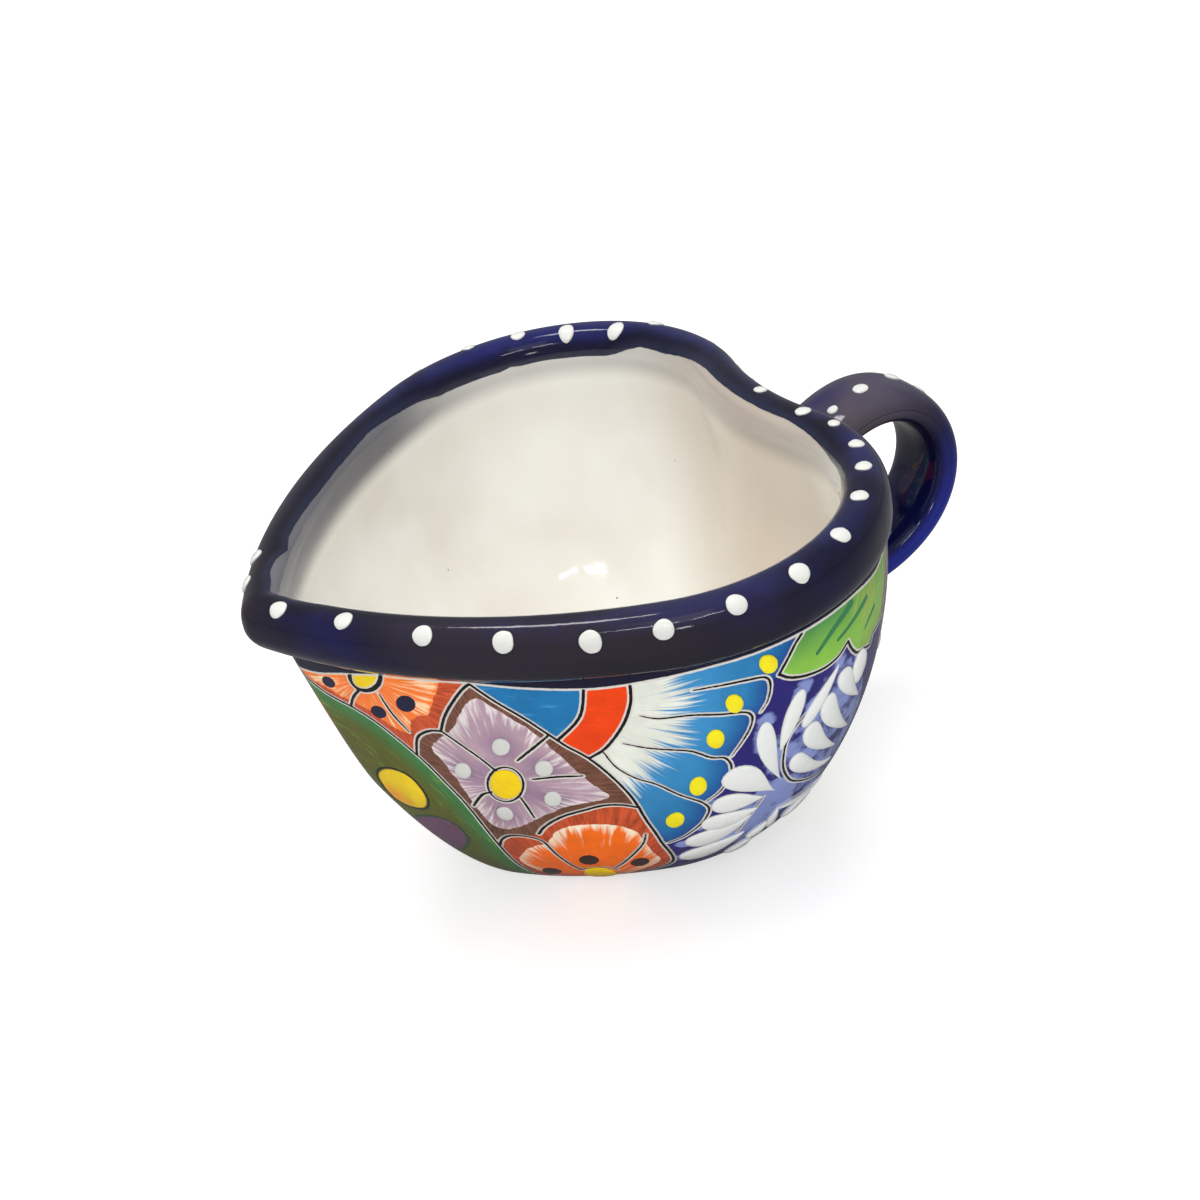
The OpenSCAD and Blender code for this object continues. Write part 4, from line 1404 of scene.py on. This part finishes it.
def cream_of(tree, at):
    """The poured white with small specks, warmer in patches, and painted shade: tan by the cleft,
    grey under the lip.
    """
    x, y, z = tree.split(at)
    base = tree.mixed(CREAM, WARM_CREAM, tree.noise(at, 30.0, 3.0).step(0.4, 0.8) * 0.5)
    # Painted shade: tan towards the cleft
    by_cleft = x - y.maths("ABSOLUTE") * 0.5
    base = tree.mixed(base, TAN_SHADE, by_cleft.step(0.015, 0.042) * 0.8)
    # Painted shadow of the lip: grey just under it, strongest towards the tip
    under = z.step(0.0668, 0.0718) * (1 - x.step(-0.014, 0.016) * 0.6)
    base = tree.mixed(base, LIP_SHADOW_GREY, under * 0.92)
    specks = tree.node("ShaderNodeTexVoronoi", {}, {"Vector": at, "Scale": 190.0})
    speck = (1 - specks[0].step(0.035, 0.06)) * tree.noise(at, 70.0).step(0.56, 0.62)
    return tree.mixed(base, SPECK, speck * 0.8)


def lip_fill(tree, at):
    """Cobalt over the lip down to its uneven edge, with painted sheen and shade, and the poured
    white below that.
    """
    base, roughness, height, coat = cobalt_fill(tree, at)
    edge = read(tree, "edge", 2) + (tree.noise(at, 500.0, 2.0) - 0.5) * 0.3
    x, _, z = tree.split(at)
    # Painted sheen: lighter blue along the top of the crest, fading out towards the tip, in
    # patches
    crest = z.step(0.0745, 0.0778) * x.step(-0.05, -0.005)
    crest = crest * tree.noise(at, 90.0, 3.0, 0.6).step(0.36, 0.62)
    base = tree.mixed(base, CREST_SHEEN, crest * 0.45)
    # Painted shade: darker low on the lip, and a little above its glaze edge
    base = tree.mixed(base, SHADED_NAVY, (1 - z.step(0.0665, 0.0735)) * 0.55)
    base = tree.mixed(base, SHADED_NAVY, (1 - edge.step(2.6, 5.4)) * 0.72)
    thin_glaze_and_top_reflection = 1 - edge.step(0.2, 2.6)
    base = tree.mixed(base, THIN_COBALT, thin_glaze_and_top_reflection * 0.8)
    base = tree.mixed(cream_of(tree, at), base, edge.step(-0.09, 0.09))
    return base, roughness, height, coat


def liner_fill(tree, at):
    height = tree.noise(at, 150.0, 2.0) * 0.12
    return cream_of(tree, at), 0.08, height, 0.5


def clay_fill(tree, at):
    grit = tree.noise(at, 900.0, 4.0, 0.7)
    return tree.mixed(CLAY, CLAY_DARK, grit.step(0.35, 0.8)), 0.85, grit * 0.25, 0.0


def enamel(plain, pooled, scale, start, share):
    """A fill for raised enamel that turns to a second colour in patches."""
    def fill(tree, at):
        pool = tree.noise(at, scale, 2.0).step(start, 0.8) * share
        return (tree.mixed(plain, pooled, pool), 0.16, tree.noise(at, 500.0, 2.0) * 0.12, 0.5)
    return fill


# Raised enamel: beads and drops that follow the surface they lie on

class Bead:
    """One bead: its middle, its directions, its half length, half width and rise, its form."""

    def __init__(self, at, out, along, across, size, form=(0.0, 0.0, 0.0)):
        self.at, self.out, self.along, self.across = at, out, along, across
        self.size, self.form = size, form

    def mirrored(self):
        ways = [way * np.array([1, -1, 1])
                for way in (self.at, self.out, self.along, self.across)]
        return Bead(*ways, self.size, self.form)


def bead_on(face, u, v, scale_v, length, width, rise, turn=0.0):
    """A round or oval bead at u, v on a face, turned by degrees from the way u runs."""
    u_way = face(u + 0.02, v) - face(u - 0.02, v)
    v_way = face(u, v + 0.002 * scale_v) - face(u, v - 0.002 * scale_v)
    out = np.cross(u_way, v_way)
    out = out / np.linalg.norm(out)
    first, second = u_way / np.linalg.norm(u_way), v_way / np.linalg.norm(v_way)
    a = math.radians(turn)
    along = first * math.cos(a) + second * math.sin(a)
    along = along / np.linalg.norm(along)
    return Bead(face(u, v), out, along, np.cross(out, along), (length / 2, width / 2, rise))


def bead_tree():
    """Sets a closed bead on every place of its mesh and lays it onto a surface."""
    group = bpy.data.node_groups.new("laid_enamel", "GeometryNodeTree")
    face = group.interface
    for name, kind in (("Places", "Geometry"), ("Surface", "Object"), ("Unevenness", "Float"),
                       ("Enamel", "Material")):
        face.new_socket(name, in_out="INPUT", socket_type="NodeSocket" + kind)
    face.new_socket("Beads", in_out="OUTPUT", socket_type="NodeSocketGeometry")
    t = Tree(group)
    places, surface, uneven, enamel_in = t.node("NodeGroupInput")[:4]

    def named(name):
        return t.node("GeometryNodeInputNamedAttribute", {"data_type": "FLOAT_VECTOR"},
                      [name])[0]

    ball = t.node("GeometryNodeMeshUVSphere", {}, [28, 20, 1.0])[0]
    ball = t.node("GeometryNodeStoreNamedAttribute", {"data_type": "FLOAT_VECTOR"}, {
        "Geometry": ball, "Name": "plan", "Value": t.node("GeometryNodeInputPosition")[0]})[0]
    spread = t.node("GeometryNodeInstanceOnPoints", {}, {"Points": places, "Instance": ball})
    beads = t.node("GeometryNodeRealizeInstances", {}, [spread[0]])[0]

    x, y, z = t.split(named("plan"))[:3]
    half_l, half_w, rise = t.split(named("size"))[:3]
    tail, bend, _ = t.split(named("form"))[:3]
    middle = named("middle")
    seed = t.added(t.scaled(middle, 900.0), t.scaled(named("plan"), 0.7))
    rough = t.noise(seed, 1.0, 1.0) - 0.5
    reach = 1 + rough * uneven
    taper = ((x + 1) * 0.5).high(0.0) ** tail
    swing = bend * (1 - x) * (1 - x) * 0.25
    flat = t.added(t.scaled(named("along"), x * half_l * reach),
                   t.scaled(named("across"), y * half_w * taper * reach + swing))
    over = t.added(t.added(middle, flat), t.scaled(named("out"), 3 * MM))
    target = t.node("GeometryNodeObjectInfo", {}, [surface])
    ray = t.node("GeometryNodeRaycast", {}, {"Target Geometry": target[4],
                 "Source Position": over, "Ray Direction": t.scaled(named("out"), -1.0),
                 "Ray Length": 9 * MM})
    dome = z.high(0.0) ** 0.72 * (0.55 + 0.45 * taper) + z.low(0.0) * 0.25
    laid = t.added(ray[1], t.scaled(ray[2], dome * rise * reach))
    beads = t.node("GeometryNodeSetPosition", {}, {"Geometry": beads, "Selection": ray[0],
                   "Position": laid})[0]
    beads = t.node("GeometryNodeSetShadeSmooth", {}, [beads])[0]
    beads = t.node("GeometryNodeSetMaterial", {}, {"Geometry": beads,
                   "Material": enamel_in})[0]
    t.node("NodeGroupOutput", {}, [beads])
    return group


BEAD_TREE = bead_tree()


def lay_beads(name, beads, surface, material, slot, node, uneven):
    """Runs the bead tree over its places, and keeps what comes out as one mesh."""
    def rows(key, scale=1.0):
        return np.array([getattr(b, key) for b in beads], float) * scale

    marks = {"along": rows("along"), "across": rows("across"), "out": rows("out"),
             "size": rows("size", MM), "middle": rows("at", MM),
             "form": rows("form", [1, MM, 1])}
    piece = build(name, rows("at"), np.zeros((0, 4), int), marks=marks)
    layer = piece.modifiers.new("beads", "NODES")
    layer.node_group = BEAD_TREE
    values = {"Surface": surface, "Unevenness": uneven, "Enamel": material}
    for item in BEAD_TREE.interface.items_tree:
        if item.name in values:
            layer[item.identifier] = values[item.name]
    bpy.context.view_layer.update()
    ready = bpy.data.meshes.new_from_object(
        piece.evaluated_get(bpy.context.evaluated_depsgraph_get()))
    piece.modifiers.clear()
    piece.data = ready
    ready.materials.clear()
    ready.materials.append(material)
    ready.polygons.foreach_set("material_index", np.zeros(len(ready.polygons), int))
    for attribute in list(ready.attributes):
        if attribute.name in marks or attribute.name == "plan":
            ready.attributes.remove(attribute)
    return finish_piece(piece, slot, node)


# Each dot's place round the lip, its angle up from the lip's outermost line (90 is the
# crest), its size against the others, and its reach across the lip
RIM_DOTS = [
    [0.047, 40, 0.9, 1.0], [0.062, 54, 0.9, 1.0], [0.105, 14, 1.0, 1.0], [0.129, 12, 0.9, 1.0],
    [0.154, 12, 1.0, 1.0], [0.179, 20, 0.9, 1.0], [0.208, 38, 0.9, 1.0], [0.242, 70, 0.8, 1.0],
    [0.273, 92, 0.8, 1.0], [0.305, 112, 0.86, 1.4], [0.340, 112, 0.86, 1.35],
    [0.362, 60, 0.9, 1.0], [0.403, 20, 0.9, 1.0], [0.434, 8, 0.9, 1.0], [0.471, 14, 0.9, 1.0],
    [0.510, 80, 0.68, 1.0], [0.565, 88, 0.8, 1.0], [0.591, 84, 0.66, 0.9],
    [0.620, 84, 0.76, 1.0], [0.646, 88, 0.8, 1.0], [0.677, 88, 0.86, 1.0],
    [0.713, 72, 0.88, 1.05], [0.747, 56, 0.93, 1.05], [0.782, 48, 0.94, 1.0],
    [0.817, 34, 0.94, 1.0], [0.840, 28, 1.0, 1.0], [0.868, 40, 1.0, 1.0],
    [0.896, 52, 0.97, 1.0], [0.927, 72, 0.88, 1.05], [0.955, 68, 0.9, 1.0]]
# Each dot's share along the strap, its angle round it and its size against the others
STRAP_DOTS = [(0.132, 76, 0.6), (0.203, 82, 0.85), (0.310, 97, 0.85), (0.393, 92, 0.9),
              (0.480, 90, 0.95), (0.568, 90, 0.95), (0.655, 90, 0.95), (0.743, 90, 0.95),
              (0.830, 90, 0.95)]
DOT_RISE = 0.48
LONGEST_DOT = 1.5
WIDEST_DROP = 7.0
# A dot that faces the camera less than this, or lies further back, keeps its plain size
LEAST_FACING = 0.12
FIRST_SEEN_STEP = HALF_STEPS * 1.38


def wall_up(s, t):
    """The wall, standing straight up above the band."""
    p = wall(s, np.maximum(t, 0))
    p[..., 2] = BAND_Z * (1 - np.asarray(t))
    return p


def tangent(s, t):
    """Two level directions on the wall at a place, and its outward direction."""
    u_way = wall_up(s + 0.02, t) - wall_up(s - 0.02, t)
    v_way = wall_up(s, t + 0.002) - wall_up(s, t - 0.002)
    u_way = u_way / np.linalg.norm(u_way)
    out = np.cross(u_way, v_way)
    out /= np.linalg.norm(out)
    return u_way, np.cross(out, u_way), out


def wall_guide():
    """The wall's painted face alone, which the beads are laid onto."""
    steps = whole_round(600)
    t = even_shares(240, 1.0)
    points = wall(steps[None, :], t[:, None]).reshape(-1, 3)
    return build("wall_guide", points, quads(len(t), len(steps)))


def seen_scale(s, t):
    """Pixels of the photograph to a millimetre in the two directions of the wall."""
    at = wall_up(s, t)
    u_way, v_way, _ = tangent(s, t)
    seen = in_photo(np.array([at, at + 0.1 * u_way, at + 0.1 * v_way]))
    return np.column_stack([seen[1] - seen[0], seen[2] - seen[0]]) / 0.1


def seen_bead(s, t, size, width_px, rise):
    """A dot that looks about as wide as in the photograph, where the photograph sees it."""
    _, _, out = tangent(s, t)
    view = CAM_PLACE - wall_up(s, t)
    if out @ view / np.linalg.norm(view) < LEAST_FACING or s < FIRST_SEEN_STEP:
        return bead_on(wall_up, s, t, 1, size, size, rise)
    way, reach, _ = np.linalg.svd(np.linalg.inv(seen_scale(s, t)) * width_px)
    turn = math.degrees(math.atan2(way[1, 0], way[0, 0]))
    return bead_on(wall_up, s, t, 1, min(reach[0], LONGEST_DOT * size), reach[1], rise, turn)


def wall_beads(places, size, width_px, rise):
    return [seen_bead(*(float(v) for v in from_chart(place(p))), size, width_px, rise)
            for p in places]


def drop_bead(head, middle, tail, width_px, thinning):
    """A drop along three pixels of the photograph, round at its head."""
    found = [WALL_FACE.find(px) for px in (head, middle, tail)]
    a, b, c = (wall_up(*at) for at in found)
    s, t = found[1]
    u_way, v_way, out = tangent(s, t)
    along = a - b - out * ((a - b) @ out)
    along /= np.linalg.norm(along)
    across = np.cross(out, along)
    look = seen_scale(s, t) @ np.array([[along @ u_way, across @ u_way],
                                        [along @ v_way, across @ v_way]])
    px_way = look[:, 0] / np.linalg.norm(look[:, 0])
    across_px = abs(px_way[0] * look[1, 1] - px_way[1] * look[0, 1])
    turn = np.linspace(0, math.pi, 90)
    fullest = (np.sin(turn) * ((1 + np.cos(turn)) / 2) ** thinning).max()
    width = min(width_px / max(across_px, 1.0), WIDEST_DROP) / fullest
    run = (a - c) @ along
    return Bead(a - along * run / 2, out, along, across, (run / 2, width / 2, ENAMEL_RISE),
                (thinning, (c - a) @ across, 0.0))


def up_lip(s, a):
    """The lip's place at s steps round, and at the angle of which a is the negative."""
    return lip(s, -a)


def round_dots(face, rows, scale, size_mm):
    """Dots of a face from rows of place, angle, size and reach."""
    return [bead_on(face, u * scale, v, 50, size_mm * size, size_mm * size * reach, DOT_RISE)
            for u, v, size, reach in rows]


# Putting the mug together

make_coat()
lip_piece = make_lip()
make_liner()
make_bowl()
strap_pieces = make_strap()

GLAZES = {
    "painted_glaze": glaze("painted_glaze", painted_fill),
    "cobalt_glaze": glaze("cobalt_glaze", cobalt_fill),
    "liner_glaze": glaze("poured_white_glaze", liner_fill),
    "clay": glaze("bare_clay", clay_fill),
    "white_enamel": glaze("raised_white_enamel",
                          enamel(WHITE_ENAMEL, THIN_WHITE, 600.0, 0.3, 0.12)),
    "yellow_enamel": glaze("raised_lemon_enamel", enamel(LEMON, LEMON_DEEP, 300.0, 0.4, 0.6))}
gold_enamel = glaze("raised_gold_enamel", enamel(GOLD, GOLD_DEEP, 240.0, 0.4, 0.7))
# The feather's strokes get the brighter copy of the white enamel: painted light
feather_enamel = glaze("raised_feather_enamel",
                       enamel(LIT_FEATHER_WHITE, THIN_WHITE, 600.0, 0.3, 0.12))
strap_glaze = glaze("cobalt_strap_glaze", strap_fill)
lip_glaze = glaze("cobalt_lip_glaze", lip_fill)

white, yellow = GLAZES["white_enamel"], GLAZES["yellow_enamel"]
lay_beads("lip_dots", round_dots(up_lip, [(s, -a, *more) for s, a, *more in RIM_DOTS],
                                 RING_STEPS, RIM_DOT_D),
          lip_piece, white, "white_enamel", "rim_dots", 0.3)
lay_beads("strap_dots", round_dots(strap, [(*row, 1.0) for row in STRAP_DOTS], 1.0,
                                   STRAP_DOT_D),
          strap_pieces[0], white, "white_enamel", "handle_dots", 0.3)
guide = wall_guide()
for name, beads, material, slot_name, node, uneven in (
        ("feather", [drop_bead(*row) for row in FEATHER_DROPS], feather_enamel,
         "white_enamel", "feather_strokes", 0.12),
        ("fan_dots", wall_beads(FAN_DOTS, FAN_DOT_D, 18.5, 0.5), yellow, "yellow_enamel",
         "fan_dots", 0.22),
        ("petal_dots", wall_beads(PETAL_DOTS, PETAL_DOT_D, 18, 0.4), white, "white_enamel",
         "petal_dots", 0.24),
        ("centres", wall_beads(CENTRES, CENTRE_D, 33, 0.4), gold_enamel, "yellow_enamel",
         "flower_centres", 0.2)):
    lay_beads(name, beads + [b.mirrored() for b in beads], guide, material, slot_name, node,
              uneven)
bpy.data.objects.remove(guide)

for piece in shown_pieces():
    if not piece.data.materials or piece.data.materials[0] is None:
        piece.data.materials.clear()
        piece.data.materials.append(GLAZES[piece["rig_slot"]])
lip_piece.data.materials[0] = lip_glaze
for piece in strap_pieces:
    piece.data.materials[0] = strap_glaze


# Floor, light and camera

WHITE = (1.0, 1.0, 1.0, 1.0)
FLOOR_GREY = (0.5, 0.5, 0.5, 1.0)
FLOOR_GLOW = 0.62
FLOOR_HALF = 3.0
ROOM_LIGHT = 0.55
ROOM_IN_GLAZE = 0.16
GLOSSY_SHARE = 0.06
# Soft lamps that look at the mug: azimuth, elevation, metres away, size, power, and whether
# the glaze shows it as a highlight
LAMPS = [("window", 98, 70, 1.3, (0.14, 0.42), 1.8, True),
         ("ceiling", 60, 84, 1.1, (0.9, 0.9), 10.5, False),
         ("front", -118, 30, 1.6, (1.5, 1.2), 7.0, False),
         ("left_pane", -125, 40, 1.3, (0.34, 0.016), 0.6, True),
         ("right_pane", -99, 40, 1.3, (0.3, 0.014), 0.5, True),
         ("low_pane", -113, 15, 1.3, (0.14, 0.07), 0.4, True),
         ("pale_wall", -112, 50, 1.3, (0.5, 0.7), 0.6, True)]


def seen_share(rays):
    """1 to the camera and through glass, and a share of it in the glaze's reflections."""
    return rays[0].high(rays[3] * GLOSSY_SHARE).high(rays[6])


def stage_floor():
    """The pale table: white to the camera but for the mug's shadow."""
    mesh = bpy.data.meshes.new("floor")
    half = FLOOR_HALF
    mesh.from_pydata([(-half, -half, 0), (half, -half, 0), (half, half, 0), (-half, half, 0)],
                     [], [(0, 1, 2, 3)])
    floor = bpy.data.objects.new("floor", mesh)
    bpy.context.scene.collection.objects.link(floor)
    material = bpy.data.materials.new("white_table")
    tree = cleared(material)
    rays = tree.node("ShaderNodeLightPath")
    pale = tree.node("ShaderNodeBsdfDiffuse", {}, [FLOOR_GREY])[0]
    dim = tree.node("ShaderNodeBsdfDiffuse", {}, [0.78 - rays[3] * 0.68])[0]
    glow = tree.node("ShaderNodeEmission", {}, [WHITE, FLOOR_GLOW])[0]
    shown = tree.node("ShaderNodeAddShader", {}, [pale, glow])[0]
    surface = tree.node("ShaderNodeMixShader", {}, [seen_share(rays), dim, shown])[0]
    tree.node("ShaderNodeOutputMaterial", {}, [surface])
    mesh.materials.append(material)


def area_light(name, azimuth, elevation, away, size, power, shines):
    lamp = bpy.data.lights.new(name, "AREA")
    lamp.shape = "RECTANGLE"
    lamp.size, lamp.size_y = size
    lamp.energy = power
    holder = bpy.data.objects.new(name, lamp)
    a, e = math.radians(azimuth), math.radians(elevation)
    way = Vector((math.cos(a) * math.cos(e), math.sin(a) * math.cos(e), math.sin(e)))
    holder.location = way * away + Vector((0, 0, MUG_H / 2 * MM))
    holder.rotation_euler = way.to_track_quat("Z", "Y").to_euler()
    holder.visible_glossy = shines
    bpy.context.scene.collection.objects.link(holder)


def world_light():
    """A soft room, darker in the glaze's reflections and white behind the mug."""
    world = bpy.data.worlds.new("soft_room")
    bpy.context.scene.world = world
    tree = cleared(world)
    rays = tree.node("ShaderNodeLightPath")
    strength = rays[3] * (ROOM_IN_GLAZE - ROOM_LIGHT) + ROOM_LIGHT
    room = tree.node("ShaderNodeBackground", {}, [WHITE, strength])[0]
    backdrop = tree.node("ShaderNodeBackground", {}, [WHITE, 1.0])[0]
    surface = tree.node("ShaderNodeMixShader", {}, [seen_share(rays), room, backdrop])[0]
    tree.node("ShaderNodeOutputWorld", {}, [surface])


def camera():
    """The camera that the photograph's outlines were solved for."""
    lens = bpy.data.cameras.new("photo_camera")
    lens.sensor_width = SENSOR_W
    lens.sensor_fit = "HORIZONTAL"
    lens.lens = FOCAL_PX / PHOTO_SIZE * SENSOR_W
    lens.clip_start = 0.01
    holder = bpy.data.objects.new("photo_camera", lens)
    turned = Matrix([CAM_RIGHT, CAM_UP, CAM_BACK]).transposed()
    holder.matrix_world = Matrix.Translation(CAM_PLACE * MM) @ turned.to_4x4()
    bpy.context.scene.collection.objects.link(holder)
    bpy.context.scene.camera = holder


stage_floor()
world_light()
for row in LAMPS:
    area_light(*row)
camera()

scene = bpy.context.scene
scene.view_settings.view_transform = "Standard"
